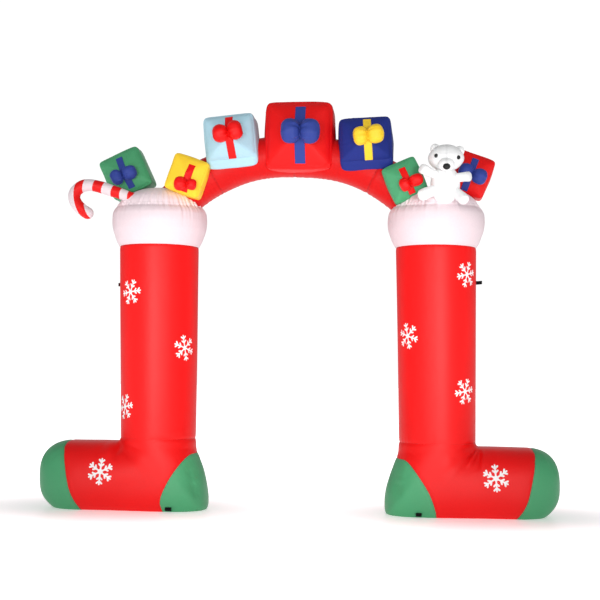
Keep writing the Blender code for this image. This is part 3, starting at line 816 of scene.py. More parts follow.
def sew(name: str, cloth: Cloth, level: np.ndarray | None = None, capped: bool = True) -> bpy.types.Object:
    """Makes a mesh of a cloth, or of the part of it where a level is below zero.

    Args:
        name: Name of the object.
        cloth: Grid of points with its measures.
        level: Where the panel lies, below zero; None for all of the grid.
        capped: Whether open ends are closed, hidden inside the chamber.

    Returns:
        The object, linked to the scene.
    """
    if level is None:
        level = np.full(cloth.points.shape[:2], -1.0)
    faces, added = clip_cells(level)
    mesh = bpy.data.meshes.new(name)
    mesh.from_pydata(with_added(cloth.points.reshape(-1, 3), added).tolist(), [], faces)
    corners = np.zeros(len(mesh.loops), int)
    mesh.loops.foreach_get("vertex_index", corners)
    for key, pairs in cloth.layers().items():
        layer = mesh.uv_layers.new(name=key)
        layer.uv.foreach_set("vector", with_added(pairs, added)[corners].ravel())
    close_up(mesh, capped)
    return put(name, mesh)


def close_up(mesh: bpy.types.Mesh, capped: bool) -> None:
    """Welds a panel's own edges, closes its open ends and points its faces outward.

    Args:
        mesh: Mesh to tidy.
        capped: Whether open ends are closed.
    """
    bm = bmesh.new()
    bm.from_mesh(mesh)
    bmesh.ops.delete(bm, geom=[v for v in bm.verts if not v.link_faces], context="VERTS")
    bmesh.ops.remove_doubles(bm, verts=bm.verts[:], dist=MERGE)
    bmesh.ops.dissolve_degenerate(bm, dist=MERGE, edges=bm.edges[:])
    for face in bm.faces:
        face.smooth = True
    rim = [e for e in bm.edges if e.is_boundary]
    if capped and rim:
        made = bmesh.ops.holes_fill(bm, edges=rim, sides=0)["faces"]
        for edge in {edge for face in made for edge in face.edges}:
            edge.smooth = False
        bmesh.ops.triangulate(bm, faces=made, quad_method="BEAUTY", ngon_method="BEAUTY")
    bmesh.ops.recalc_face_normals(bm, faces=bm.faces[:])
    bm.to_mesh(mesh)
    bm.free()


def join(name: str, parts: list[bpy.types.Object]) -> bpy.types.Object:
    """Joins pieces into one mesh and welds where their edges meet.

    Args:
        name: Name of the joined object.
        parts: Pieces, which are used up.

    Returns:
        The joined object.
    """
    with bpy.context.temp_override(active_object=parts[0], selected_editable_objects=parts):
        bpy.ops.object.join()
    whole = parts[0]
    whole.name = name
    whole.data.name = name
    close_up(whole.data, capped=False)
    return whole


def dress(obj: bpy.types.Object, finish: Finish, *nodes: str, fill: float | None = None) -> bpy.types.Object:
    """Gives a piece its finish, hides the CAD nodes it stands for and hangs it on the body it rides on.

    Args:
        obj: Piece to dress.
        finish: Its finish.
        *nodes: CAD nodes that the piece stands for.
        fill: How full a blown-up piece is, or None for a piece that isn't. Not used.

    Returns:
        The same piece.
    """
    obj.data.materials.clear()
    obj.data.materials.append(finish.material())
    if nodes:
        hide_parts(*nodes)
    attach(obj, "root")
    LOG.info("%s: %d faces", obj.name, len(obj.data.polygons))
    return obj


class Sewn:
    """A piece that is sewn as one cloth and stands for one CAD node."""

    node: str
    suffix: str
    finish: Finish
    fill: float | None = None

    def cloth(self) -> Cloth:
        """The piece's cloth."""
        raise NotImplementedError

    def build(self) -> None:
        """Makes and dresses the piece."""
        dress(sew(self.node + self.suffix, self.cloth()), self.finish, self.node, fill=self.fill)


# ---------------- stockings
@dataclass
class Stocking:
    """A leg tube on a foot, with a heel and a toe panel let into the foot."""

    side: Side
    folds: tuple[Fold, ...]
    heel_seam: SeamLine
    toe_seam: SeamLine
    seed: int
    instep_round: float = 0.020
    foot_top: float = 0.394
    half_depth: float = 0.215
    sink: float = 0.0450
    power: float = 2.5
    toe_reach: float = 0.699
    toe_mid: float = 0.165
    toe_bend: float = 0.490
    toe_taper: float = 0.415
    sole_round: float = 0.010
    sole_press: float = 0.45
    sole_fade: float = 0.02
    sole_lift: float = 0.0002
    toe_round: float = 2.6
    toe_narrow: float = 2.3
    columns: int = 168
    leg_rows: int = 110
    fan_rows: int = 84
    toe_rows: int = 77

    LEG_SWAY = Sway(rise=0.0016, size=0.26)
    # Shortens heights where the leg's swells are read, so that they run down the tube.
    LEG_STRETCH = (1.0, 1.0, 0.35)
    FOOT_SWAY = Sway(rise=0.0018, size=0.20)
    LEG_PLEATS = Pleats(pitch=0.031, wander=2.5, drift=0.12)
    CUFF_TUCK = Tuck(depth=0.0035, width=0.008, rise=0.0011, reach=0.024)
    INSTEP_TUCK = Tuck(depth=0.0034, width=0.009, rise=0.0010, reach=0.030)
    # The instep seam draws in little outwards of the leg's axis and much on its inner side: depth
    # of its outer valley, the span of s where it changes, and how far above the seam it starts, which also
    # keeps the painted shade in its fold faint.
    OUTER_VALLEY = 0.0003
    INSTEP_SPAN = (-0.10, 0.18)
    INSTEP_INSET = 0.0045
    # Where that valley starts to run out on the foot's top.
    INSTEP_END = 0.2
    PANEL_TUCK = Tuck(depth=0.0030, width=0.007, rise=0.0013, reach=0.034)
    PANEL_OUTER_REACH = 0.020
    HEEL_PLEATS = Pleats(pitch=0.034, wander=3.0, drift=0.13)
    TOE_PLEATS = Pleats(pitch=0.029, wander=3.0, drift=0.13)
    # Depths in front of the middle plane between which the creases grow to full height.
    CREASED = (0.02, 0.11)
    # Heights over the sole between which the relief grows to full height.
    SOLE_RISE = (0.004, 0.030)
    # Columns: degrees below the horizontal at the instep, reach of the fan from there.
    FAN = (
        (0.0, 0.4614), (7.0, 0.4690), (14.0, 0.5020), (21.0, 0.5500), (28.0, 0.6070),
        (33.5, 0.6490), (38.0, 0.6740), (43.5, 0.6660), (53.0, 0.5960), (62.0, 0.5400),
        (72.0, 0.4960), (81.0, 0.4720), (90.0, 0.4600),
    )

    def place(self, s: np.ndarray, y: np.ndarray, z: np.ndarray) -> np.ndarray:
        """World points from a distance outwards of the leg axis, a depth and a height."""
        drift = LEAN * np.maximum(0.0, z - INSTEP_Z)
        return np.stack([self.side.value * (LEG_X + s) + drift, y + AXIS_Y, z], axis=-1)

    def creases(self, points: np.ndarray) -> np.ndarray:
        """Sum of the stocking's creases at world points, on its front half alone."""
        x, y, z = np.moveaxis(points, -1, 0)
        s = (x - LEAN * np.maximum(0.0, z - INSTEP_Z)) * self.side.value - LEG_X
        return sum(fold.height(s, z) for fold in self.folds) * ease(AXIS_Y - y, *self.CREASED)

    def instep_share(self, s: np.ndarray) -> np.ndarray:
        """How much the instep seam draws in, from 0 outwards to 1 on the inner side."""
        return ease(-s, *self.INSTEP_SPAN)

    def instep_valley(self, s: np.ndarray, gap: np.ndarray) -> np.ndarray:
        """Depth of the valley along the instep seam."""
        depth = self.OUTER_VALLEY + self.INSTEP_TUCK.depth * self.instep_share(s)
        return depth * bell(gap, self.INSTEP_TUCK.width)

    def leg(self) -> Cloth:
        """The leg's tube from the cuff seam down to the instep seam.

        Returns:
            The cloth.
        """
        z, a = lattice(np.linspace(CUFF_SEAM_Z, INSTEP_Z, self.leg_rows), turns(self.columns))
        radius = LEG_LOW + (LEG_TOP - LEG_LOW) * (z - INSTEP_Z) / (CUFF_SEAM_Z - INSTEP_Z)
        s = -radius * np.cos(a)
        cloth = Cloth.of(self.place(s, radius * np.sin(a), z))
        run = a * LEG_MEAN
        top = CUFF_SEAM_Z - z
        low = z - INSTEP_Z
        cloth.near_seam(top, run)
        cloth.near_seam(low + self.INSTEP_INSET, run)
        cloth.near_seam(LEG_MEAN * np.abs(a - math.pi / 2.0), z)
        cloth.swell(self.leg_relief(cloth.points, s, run, top, low))
        return cloth

    def leg_relief(self, points: np.ndarray, s: np.ndarray, run: np.ndarray, top: np.ndarray,
                   low: np.ndarray) -> np.ndarray:
        """How far the leg's cloth stands off its plain tube.

        Args:
            points: Plain points.
            s: Distance outwards of the leg axis.
            run: Length round the leg.
            top: Distance below the cuff seam.
            low: Distance above the instep seam.

        Returns:
            The relief, in metres.
        """
        relief = self.LEG_SWAY.height(points * self.LEG_STRETCH, self.seed)
        pleat = self.LEG_PLEATS.wave(run, self.seed + 1) * (0.5 + 0.5 * row_noise(run, 0.09, self.seed + 3))
        relief += pleat * self.CUFF_TUCK.height(top) - self.CUFF_TUCK.valley(top)
        relief += pleat * self.INSTEP_TUCK.height(low) * self.instep_share(s) - self.instep_valley(s, low)
        return relief + self.creases(points)

    def foot(self) -> tuple[Cloth, np.ndarray, np.ndarray]:
        """The whole foot, from the instep seam round the heel to the toe.

        Returns:
            The cloth, and the distances from the heel seam and the toe seam, above zero
            inside the heel and the toe.
        """
        a = turns(self.columns)
        rows = [self.fan_row(angle, a) for angle in np.linspace(0.0, 90.0, self.fan_rows)]
        start = LEG_LOW + self.instep_round
        share = np.linspace(0.0, 1.0, self.toe_rows + 1)[1:]
        reach = start + (self.toe_reach - start) * np.sin(share * math.pi / 2.0)
        rows += [self.toe_row(s, a) for s in reach]
        s, y, z = np.moveaxis(np.array(rows), -1, 0)
        z = self.settle(z)
        cloth = Cloth.of(self.place(s, y, z))
        relief = self.FOOT_SWAY.height(cloth.points, self.seed + 10)
        gaps = []
        # Columns: seam, its pleats, added to the seed of its unevenness.
        seams = ((self.heel_seam, self.HEEL_PLEATS, 20), (self.toe_seam, self.TOE_PLEATS, 30))
        for seam, pleats, shift in seams:
            gap, run = seam.measure(s, z)
            run = run + np.abs(y)
            cloth.near_seam(gap, run)
            relief += self.panel_relief(gap, run, pleats, self.seed + shift)
            gaps.append(gap)
        relief += self.creases(cloth.points)
        relief -= self.instep_valley(s, np.abs(z - INSTEP_Z) + np.maximum(0.0, s - self.INSTEP_END))
        cloth.swell(relief * ease(z, *self.SOLE_RISE))
        cloth.points[..., 2] = np.maximum(cloth.points[..., 2], self.sole_lift)
        return cloth, *gaps

    def panel_relief(self, gap: np.ndarray, run: np.ndarray, pleats: Pleats, seed: int) -> np.ndarray:
        """Pleats and valley along the heel or toe seam.

        Args:
            gap: Distance inside the seam.
            run: Length along it.
            pleats: Its pleats.
            seed: Picks its unevenness.

        Returns:
            The relief, in metres.
        """
        uneven = np.maximum(0.0, 0.45 + 0.75 * row_noise(run, 0.11, seed))
        reach = np.where(gap > 0.0, self.PANEL_TUCK.reach, self.PANEL_OUTER_REACH)
        rise = self.PANEL_TUCK.rise * fade(np.abs(gap), reach)
        return pleats.wave(run, seed + 1) * uneven * rise - self.PANEL_TUCK.valley(gap)

    def settle(self, z: np.ndarray) -> np.ndarray:
        """Heights with the sole pressed flat on the ground and a small round at its rim."""
        soft = self.sole_round
        pressed = self.sole_press * soft * fade(np.maximum(z, 0.0), self.sole_fade)
        return 0.5 * (z + np.sqrt(z * z + soft * soft)) - pressed

    def fan_row(self, angle: float, a: np.ndarray) -> np.ndarray:
        """Section in a plane through the instep pivot.

        Args:
            angle: Degrees below the horizontal.
            a: Angles round the section.

        Returns:
            Rows of (s, y, z).
        """
        share = angle / 90.0
        power = 2.0 + (self.power - 2.0) * min(1.0, share * 1.6)
        depth = LEG_LOW + (self.half_depth - LEG_LOW) * share
        near = self.instep_round + (INSTEP_Z - self.foot_top - self.instep_round) * share
        far = float(Rows(self.FAN)(angle))
        reach = (near + far) / 2.0 + (far - near) / 2.0 * signed_power(np.cos(a), 2.0 / power)
        down = math.radians(angle)
        s = LEG_LOW + self.instep_round - reach * math.cos(down)
        z = INSTEP_Z - reach * math.sin(down)
        return np.stack([s, depth * signed_power(np.sin(a), 2.0 / power), z], axis=-1)

    def toe_row(self, s: float, a: np.ndarray) -> np.ndarray:
        """Upright section of the foot at a distance outwards of the leg axis.

        Args:
            s: Distance outwards of the leg axis.
            a: Angles round the section.

        Returns:
            Rows of (s, y, z).
        """
        rise = max(0.0, (s - self.toe_bend) / (self.toe_reach - self.toe_bend))
        shrink = rounded(rise, self.toe_round)
        narrow = rounded((s - self.toe_taper) / (self.toe_reach - self.toe_taper), self.toe_narrow)
        top = self.toe_mid + (self.foot_top - self.toe_mid) * shrink
        low = self.toe_mid - (self.toe_mid + self.sink * (1.0 - rise)) * shrink
        z = (top + low) / 2.0 - (top - low) / 2.0 * signed_power(np.cos(a), 2.0 / self.power)
        y = self.half_depth * narrow * signed_power(np.sin(a), 2.0 / self.power)
        return np.stack([np.full(a.shape, s), y, z], axis=-1)

    def build(self) -> dict[str, bpy.types.Object]:
        """Makes and dresses the stocking's four panels.

        Returns:
            The panels by node name.
        """
        foot, heel, toe = self.foot()
        # Columns: panel, cloth, where it lies, finish.
        panels = (
            ("leg", self.leg(), None, RED),
            ("foot", foot, np.maximum(heel, toe), RED),
            ("heel", foot, -heel, GREEN),
            ("toe", foot, -toe, GREEN),
        )
        made = {}
        for panel, cloth, level, finish in panels:
            node = f"{self.side.tag}_{panel}"
            made[node] = dress(sew(node + "_panel", cloth, level), finish, node, fill=1.0)
        return made


# Seams from the top down to the sole. Columns: distance outwards of the leg axis, height.
LEFT_HEEL = SeamLine((
    (-0.330, 0.334), (-0.232, 0.331), (-0.197, 0.3135), (-0.141, 0.240), (-0.095, 0.164),
    (-0.064, 0.095), (-0.055, 0.048), (-0.062, 0.018), (-0.070, -0.010)), -1.0)
RIGHT_HEEL = SeamLine((
    (-0.330, 0.322), (-0.219, 0.323), (-0.185, 0.318), (-0.157, 0.295), (-0.106, 0.229),
    (-0.058, 0.155), (-0.033, 0.0995), (-0.013, 0.0365), (-0.005, -0.010)), -1.0)
LEFT_TOE = SeamLine((
    (0.512, 0.410), (0.526, 0.375), (0.5215, 0.342), (0.511, 0.287), (0.487, 0.175),
    (0.473, 0.118), (0.450, 0.060), (0.425, 0.017), (0.407, -0.010)), 1.0)
RIGHT_TOE = SeamLine((
    (0.524, 0.410), (0.5435, 0.368), (0.541, 0.318), (0.5345, 0.265), (0.511, 0.144),
    (0.494, 0.0875), (0.468, 0.035), (0.432, -0.010)), 1.0)

# Columns: s and z of the start, s and z of the end, half width, rise.
LEFT_FOLDS = tuple(Fold(*row) for row in (
    (-0.300, 0.012, -0.165, 0.150, 0.026, 0.0070), (-0.212, 0.272, -0.262, 0.050, 0.018, -0.0056),
    (-0.262, 0.236, -0.202, 0.226, 0.006, -0.0040), (-0.266, 0.212, -0.214, 0.207, 0.005, -0.0034),
    (-0.272, 0.184, -0.220, 0.174, 0.006, 0.0028), (-0.276, 0.160, -0.220, 0.148, 0.006, -0.0044),
    (-0.280, 0.134, -0.226, 0.128, 0.005, -0.0034), (-0.282, 0.108, -0.242, 0.103, 0.005, -0.0030),
    (-0.284, 0.082, -0.248, 0.077, 0.006, 0.0026), (0.200, 0.404, 0.215, 0.318, 0.024, -0.0120),
    (0.214, 0.385, 0.110, 0.300, 0.017, -0.0060), (0.170, 0.392, 0.060, 0.350, 0.016, -0.0045),
    (0.130, 0.350, 0.030, 0.260, 0.040, 0.0060), (0.262, 0.382, 0.262, 0.300, 0.020, 0.0050),
    (0.300, 0.378, 0.330, 0.320, 0.018, -0.0030), (-0.165, 0.353, -0.200, 0.364, 0.006, -0.0020),
    (-0.140, 0.303, -0.190, 0.315, 0.006, -0.0020), (-0.060, 0.440, -0.200, 0.470, 0.010, 0.0016),
    (0.560, 0.330, 0.620, 0.270, 0.010, -0.0022), (0.520, 0.372, 0.560, 0.330, 0.008, 0.0018),
))
RIGHT_FOLDS = tuple(Fold(*row) for row in (
    (-0.270, 0.030, -0.155, 0.172, 0.024, 0.0070), (-0.195, 0.240, -0.175, 0.330, 0.018, 0.0045),
    (-0.255, 0.240, -0.205, 0.110, 0.020, -0.0056), (-0.262, 0.256, -0.192, 0.247, 0.005, -0.0034),
    (-0.262, 0.232, -0.182, 0.225, 0.006, -0.0042), (-0.258, 0.208, -0.188, 0.203, 0.006, 0.0030),
    (-0.262, 0.184, -0.194, 0.175, 0.006, -0.0040), (-0.266, 0.156, -0.208, 0.151, 0.005, -0.0032),
    (-0.270, 0.126, -0.224, 0.121, 0.006, 0.0026), (0.212, 0.405, 0.130, 0.388, 0.020, -0.0110),
    (0.222, 0.392, 0.155, 0.340, 0.010, -0.0075), (0.228, 0.380, 0.190, 0.318, 0.009, -0.0078),
    (0.208, 0.360, 0.165, 0.300, 0.009, 0.0060), (0.238, 0.372, 0.225, 0.290, 0.009, -0.0072),
    (0.252, 0.360, 0.250, 0.272, 0.010, 0.0062), (0.100, 0.350, 0.020, 0.260, 0.040, 0.0060),
    (0.300, 0.374, 0.300, 0.320, 0.014, -0.0036), (0.560, 0.362, 0.600, 0.318, 0.008, -0.0026),
    (0.590, 0.345, 0.632, 0.292, 0.008, 0.0022), (0.610, 0.330, 0.650, 0.262, 0.009, -0.0024),
    (-0.110, 0.330, -0.170, 0.372, 0.008, -0.0018),
))


# ---------------- cuffs
@dataclass
class Cuff:
    """A swollen white cuff with a top gathered into a seam."""

    side: Side
    seed: int
    pleats: int = 56
    columns: int = 384
    wall_rows: int = 84
    top_rows: int = 72
    forward_tilt: float = 0.012

    # Columns: height, radius of the side.
    WALL = (
        (SHOULDER_Z, 0.2465), (1.760, 0.2660), (1.732, 0.2775), (1.690, 0.2810),
        (1.648, 0.2770), (1.602, 0.2630), (1.564, 0.2480), (CUFF_SEAM_Z, 0.2330),
    )
    # Columns: radius, height of the top.
    DOME = (
        (0.0, 1.893), (0.080, 1.888), (0.150, 1.869),
        (0.198, 1.846), (0.229, 1.815), (0.2465, SHOULDER_Z),
    )
    SWAY = Sway(rise=0.0016, size=0.22)
    SWAY_FROM_SEAM = 0.05
    # Gathers at the shoulder seam, at the leg's seam and on the top, the short ones between them:
    # height, then shortest and longest run from the seam.
    WALL_UPPER = (0.0042, 0.012, 0.060)
    WALL_LOWER = (0.0012, 0.008, 0.030)
    TOP_LONG = (0.0032, 0.030, 0.110)
    TOP_SHORT = (0.0022, 0.012, 0.045)
    # Cord of gathered cloth that stands off the shoulder seam: rise, half width on side and top.
    WELT = (0.0016, 0.0035, 0.006)
    # Radii at which lengths run along the shoulder seam and along the leg's seam are read.
    SHOULDER_RADIUS = 0.240
    LEG_SEAM_RADIUS = 0.235

    def place(self, radius: np.ndarray, a: np.ndarray, z: np.ndarray) -> np.ndarray:
        """World points from a radius, an angle and a height, the seam a little lower in front."""
        x = self.side.value * LEG_X + CUFF_DX + radius * np.sin(a)
        near_top = ease(z, 1.66, SHOULDER_Z) * ease(radius, 0.05, 0.24)
        ahead = np.cos(a)
        return np.stack([x, AXIS_Y - radius * ahead, z - self.forward_tilt * ahead * near_top], axis=-1)

    def gather(self, a: np.ndarray, shift: int, finest: float) -> np.ndarray:
        """Uneven gathers round the seam, made of waves that wander in place and strength.

        Args:
            a: Angle round the cuff.
            shift: Added to the seed where the wandering starts.
            finest: Number of the finest gathers in a full turn, as a share of the pleats.

        Returns:
            Height share, about -1 to 1.
        """
        seed = self.seed + shift
        total = np.zeros(a.shape)
        for k, share in enumerate((1.0, 0.61, 0.37)):
            wander = 1.9 * np.sin(3.0 * a + seed + k) + 1.3 * np.sin(7.0 * a + 2.0 * seed - k)
            strength = 0.72 + 0.28 * np.sin(5.0 * a + 1.3 * seed + 2.0 * k) * np.sin(8.0 * a + 0.7 * seed + k)
            total += strength * np.sin(round(finest * self.pleats * share) * a + wander)
        return total * 0.62

    def spread(self, a: np.ndarray, shift: int, gap: np.ndarray, size: Spot) -> np.ndarray:
        """Height of gathers that run out from a seam by uneven lengths.

        Args:
            a: Angle round the cuff.
            shift: Added to the seed of the lengths.
            gap: Distance from the seam.
            size: Height, shortest run and longest run.

        Returns:
            The height, before each gather's own share.
        """
        seed = self.seed + shift
        height, short, far = size
        swing = np.sin(11.0 * a + seed) * np.sin(17.0 * a + 1.7 * seed) + 0.5 * np.sin(29.0 * a + 0.4 * seed)
        return height * fade(gap, short + (far - short) * np.clip(0.5 + 0.4 * swing, 0.0, 1.0))

    def wall(self) -> Cloth:
        """The cuff's side, from the gathered seam down to the leg.

        Returns:
            The cloth.
        """
        drop = np.linspace(0.0, 1.0, self.wall_rows) ** 1.25
        z, a = lattice(SHOULDER_Z - (SHOULDER_Z - CUFF_SEAM_Z) * drop, turns(self.columns))
        top = SHOULDER_Z - z
        low = z - CUFF_SEAM_Z
        welt, welt_width, _ = self.WELT
        radius = Rows(sorted(self.WALL))(z) + welt * bell(top, welt_width)
        radius += self.gather(a, 0, 1.0) * self.spread(a, 0, top, self.WALL_UPPER)
        radius += self.gather(a, 4, 0.7) * self.spread(a, 2, low, self.WALL_LOWER)
        cloth = Cloth.of(self.place(radius, a, z))
        cloth.near_seam(np.maximum(top, 0.0), a * self.SHOULDER_RADIUS)
        cloth.near_seam(low, a * self.LEG_SEAM_RADIUS)
        free = ease(top, 0.0, self.SWAY_FROM_SEAM) * ease(low, 0.0, self.SWAY_FROM_SEAM)
        cloth.swell(self.SWAY.height(cloth.points, self.seed) * free)
        return cloth

    def top(self) -> Cloth:
        """The cuff's domed top, gathered from its seam towards the crown.

        Returns:
            The cloth.
        """
        rim = self.DOME[-1][0]
        out = rim * np.sin(np.linspace(0.0, 1.0, self.top_rows) * math.pi / 2.0) ** 0.9
        radius, a = lattice(out, turns(self.columns))
        inner = rim - radius
        long = self.gather(a, 0, 1.0)
        rise = long * self.spread(a, 5, inner, self.TOP_LONG)
        rise += self.gather(a, 7, 1.3) * self.spread(a, 6, inner, self.TOP_SHORT)
        rise *= ease(radius, 0.02, 0.12) * ease(inner, 0.0, 0.004)
        welt, _, welt_width = self.WELT
        spread = radius + (self.WALL_UPPER[0] * long + welt) * bell(inner, welt_width)
        cloth = Cloth.of(self.place(spread, a, Rows(self.DOME)(radius)))
        cloth.near_seam(np.maximum(inner, 0.0), a * self.SHOULDER_RADIUS)
        cloth.swell(rise)
        return cloth

    def build(self) -> None:
        """Makes and dresses the cuff's side and top."""
        node = self.side.tag + "_cuff"
        # The cuff cloth's pink tint is painted red bounce from the stockings.
        dress(sew(node + "_side", self.wall()), RED_BOUNCE_WHITE, node, fill=1.0)
        # The top is the side's cloth painted lighter, as painted light.
        dress(sew(node + "_dome", self.top()), LIT_DOME_WHITE, node + "_top", fill=1.0)


# ---------------- tubes
def sweep(path: np.ndarray, radius: np.ndarray, columns: int) -> np.ndarray:
    """Rings round a path that lies in a plane of constant depth.

    Args:
        path: Centre points.
        radius: One radius for each.
        columns: Points round a ring.

    Returns:
        A grid of points whose first and last columns meet.
    """
    ahead = unit(np.gradient(path, axis=0))
    depth = np.array([0.0, 1.0, 0.0])
    up = np.cross(ahead, depth)
    a = turns(columns)[None, :, None]
    rings = up[:, None, :] * np.cos(a) + depth[None, None, :] * np.sin(a)
    return path[:, None, :] + rings * radius[:, None, None]


@dataclass
class ArchTube(Sewn):
    """The bowed red tube between the cuffs."""

    node = "arch_tube"
    suffix = "_panel"
    # Painted shade: a darker copy of the stockings' red.
    finish = SHADED_ARCH_RED
    fill = 1.0
    crown_z: float = 2.0824
    centre_x: float = -0.0280
    drop: float = 0.626
    power: float = 2.40
    radius: float = 0.1215
    half_span: float = 0.740
    seams: tuple[float, ...] = (-0.50, 0.0, 0.50)
    rows: int = 300
    columns: int = 96
    seed: int = 51

    SWAY = Sway(rise=0.0022, size=0.19)
    PLEATS = Pleats(pitch=0.036, wander=2.2, drift=0.12)
    PLEAT_RISE = 0.0010
    SEAM_TUCK = Tuck(depth=0.0030, width=0.008, rise=0.0009, reach=0.03)
    SEAM_PITCH = 0.03

    def path(self) -> np.ndarray:
        """Centre line of the tube, from the left end to the right end."""
        u = np.linspace(-self.half_span, self.half_span, self.rows)
        z = self.crown_z - self.drop * np.abs(u) ** self.power
        return np.stack([self.centre_x + u, np.full(u.shape, AXIS_Y), z], axis=-1)

    def cloth(self) -> Cloth:
        """The tube with cross seams and gathers along its inner curve.

        Returns:
            The cloth.
        """
        path = self.path()
        grid = sweep(path, np.full(len(path), self.radius), self.columns)
        cloth = Cloth.of(grid)
        run, a = lattice(lengths(path), turns(self.columns))
        run = run - run[-1, 0] / 2.0
        under = ease(np.cos(a) if grid[0, 0, 2] < path[0, 2] else -np.cos(a), -0.35, 0.9)
        uneven = 0.6 + 0.4 * row_noise(run, 0.16, self.seed + 2)
        relief = self.SWAY.height(grid, self.seed)
        relief += self.PLEAT_RISE * self.PLEATS.wave(run, self.seed + 1) * under * uneven
        for seam in self.seams:
            gap = np.abs(run - seam)
            cloth.near_seam(gap, a * self.radius)
            pleat = np.sin(TAU * a * self.radius / self.SEAM_PITCH + 9.0 * seam)
            relief += pleat * self.SEAM_TUCK.height(gap) - self.SEAM_TUCK.valley(gap)
        cloth.swell(relief)
        return cloth


@dataclass
class CandyCane(Sewn):
    """A hooked tube of striped cloth whose butt end is sewn to the left cuff."""

    node = "candy_cane"
    suffix = "_tube"
    finish = CANE
    fill = 1.0
    radius: float = 0.0350
    slant: float = 0.18
    rows: int = 150
    tip_rows: int = 22
    columns: int = 72
    seed: int = 61

    # Columns: place across, depth, height.
    PATH = (
        (-0.900, -0.095, 1.795), (-0.983, -0.132, 1.823), (-1.075, -0.168, 1.853),
        (-1.150, -0.182, 1.875), (-1.215, -0.190, 1.886), (-1.264, -0.190, 1.876),
        (-1.296, -0.190, 1.847), (-1.304, -0.190, 1.812), (-1.290, -0.190, 1.778),
        (-1.262, -0.190, 1.748), (-1.222, -0.190, 1.721),
    )
    # Columns: height, x of the line between the hook's outer white stripe and its red one.
    STRIPE_EDGE = (
        (1.660, -1.212), (1.685, -1.239), (1.718, -1.269), (1.776, -1.291),
        (1.810, -1.298), (1.843, -1.299), (1.902, -1.290), (1.940, -1.281),
    )
    # Columns: distance inwards of that line, stripe pairs up to there.
    STRIPE_TURN = (
        (-0.200, -1.75), (-0.060, -0.50), (0.000, 0.00), (0.048, 0.50),
        (0.106, 1.00), (0.160, 1.50), (0.2145, 2.00), (0.262, 2.50),
        (0.303, 3.00), (0.370, 3.50), (0.530, 5.00),
    )

    SWAY = Sway(rise=0.0009, size=0.06)
    PLEATS = Pleats(pitch=0.017, wander=1.5, drift=0.05)
    PLEAT_RISE = 0.0011
    # The straight part: where it sets in and over what length, a place on its middle line, and how
    # far that line falls for each metre inwards. Its stripes lean over by the slant.
    STRAIGHT_FROM = -1.22
    STRAIGHT_SPAN = 0.1
    STRAIGHT_X = -1.18
    STRAIGHT_Z = 1.880
    STRAIGHT_FALL = 0.31
    # Middle of the hook, and how far inside it the gathers reach.
    HOOK = (-1.215, 0.0, 1.800)
    HOOK_RADIUS = 0.050

    def path(self) -> np.ndarray:
        """Smooth centre line from inside the cuff to the tip, in world points."""
        rows = np.array(self.PATH) + (0.0, AXIS_Y, 0.0)
        chord = lengths(rows)
        t = np.linspace(0.0, chord[-1], self.rows)
        return np.stack([cubic(t, chord, values, np.gradient(values, chord)) for values in rows.T], axis=-1)

    def cloth(self) -> Cloth:
        """The tube with a rounded tip, gathers inside the hook and its stripe measure.

        Returns:
            The cloth.
        """
        path = self.path()
        ahead = unit(path[-1] - path[-2])
        bend = np.radians(np.linspace(4.0, 90.0, self.tip_rows))
        path = np.concatenate([path, path[-1] + ahead * self.radius * np.sin(bend)[:, None]])
        radius = np.concatenate([np.full(self.rows, self.radius), self.radius * np.cos(bend)])
        grid = sweep(path, radius, self.columns)
        cloth = Cloth.of(grid)
        run, a = lattice(lengths(path), turns(self.columns))
        off = np.linalg.norm((grid - self.HOOK) * (1.0, 0.0, 1.0), axis=-1) - self.HOOK_RADIUS
        gathered = ease(self.radius - off, 0.0, 0.06) * ease(run, 0.26, 0.36)
        relief = self.SWAY.height(grid, self.seed + 1)
        relief += self.PLEAT_RISE * self.PLEATS.wave(run, self.seed) * gathered
        cloth.near_seam(np.abs(a - math.pi) * self.radius, run)
        cloth.swell(relief * ease(radius / self.radius, 0.05, 0.4)[:, None])
        cloth.print_lead = self.stripes(cloth.points[..., 0], cloth.points[..., 2])
        return cloth

    def stripes(self, x: np.ndarray, z: np.ndarray) -> np.ndarray:
        """Count of stripe pairs inwards from the hook's outermost red stripe.

        Args:
            x: Places across.
            z: Heights.

        Returns:
            The counts; a red stripe is the first half of each pair.
        """
        straight = np.clip((x - self.STRAIGHT_FROM) / self.STRAIGHT_SPAN, 0.0, 1.0)
        above = z - self.STRAIGHT_Z + self.STRAIGHT_FALL * (x - self.STRAIGHT_X)
        place = x - Rows(self.STRIPE_EDGE)(z) - self.slant * straight * above
        return np.interp(place, *zip(*self.STRIPE_TURN))


# ---------------- gifts
@dataclass(frozen=True)
class Ribbon:
    """Where a gift's ribbon runs on its front face, about the box's middle."""

    x: float
    width: float
    low: float
    high: float


@dataclass(frozen=True)
class Bow:
    """Pinch, turn in degrees and lobe sizes of a gift's bow, about the box's middle."""

    x: float
    z: float
    turn: float
    left_reach: float
    left_height: float
    right_reach: float
    right_height: float


def turned(x: np.ndarray, z: np.ndarray, degrees: float) -> tuple[np.ndarray, np.ndarray]:
    """Places turned about the origin, seen from the front."""
    turn = math.radians(degrees)
    return x * math.cos(turn) - z * math.sin(turn), x * math.sin(turn) + z * math.cos(turn)


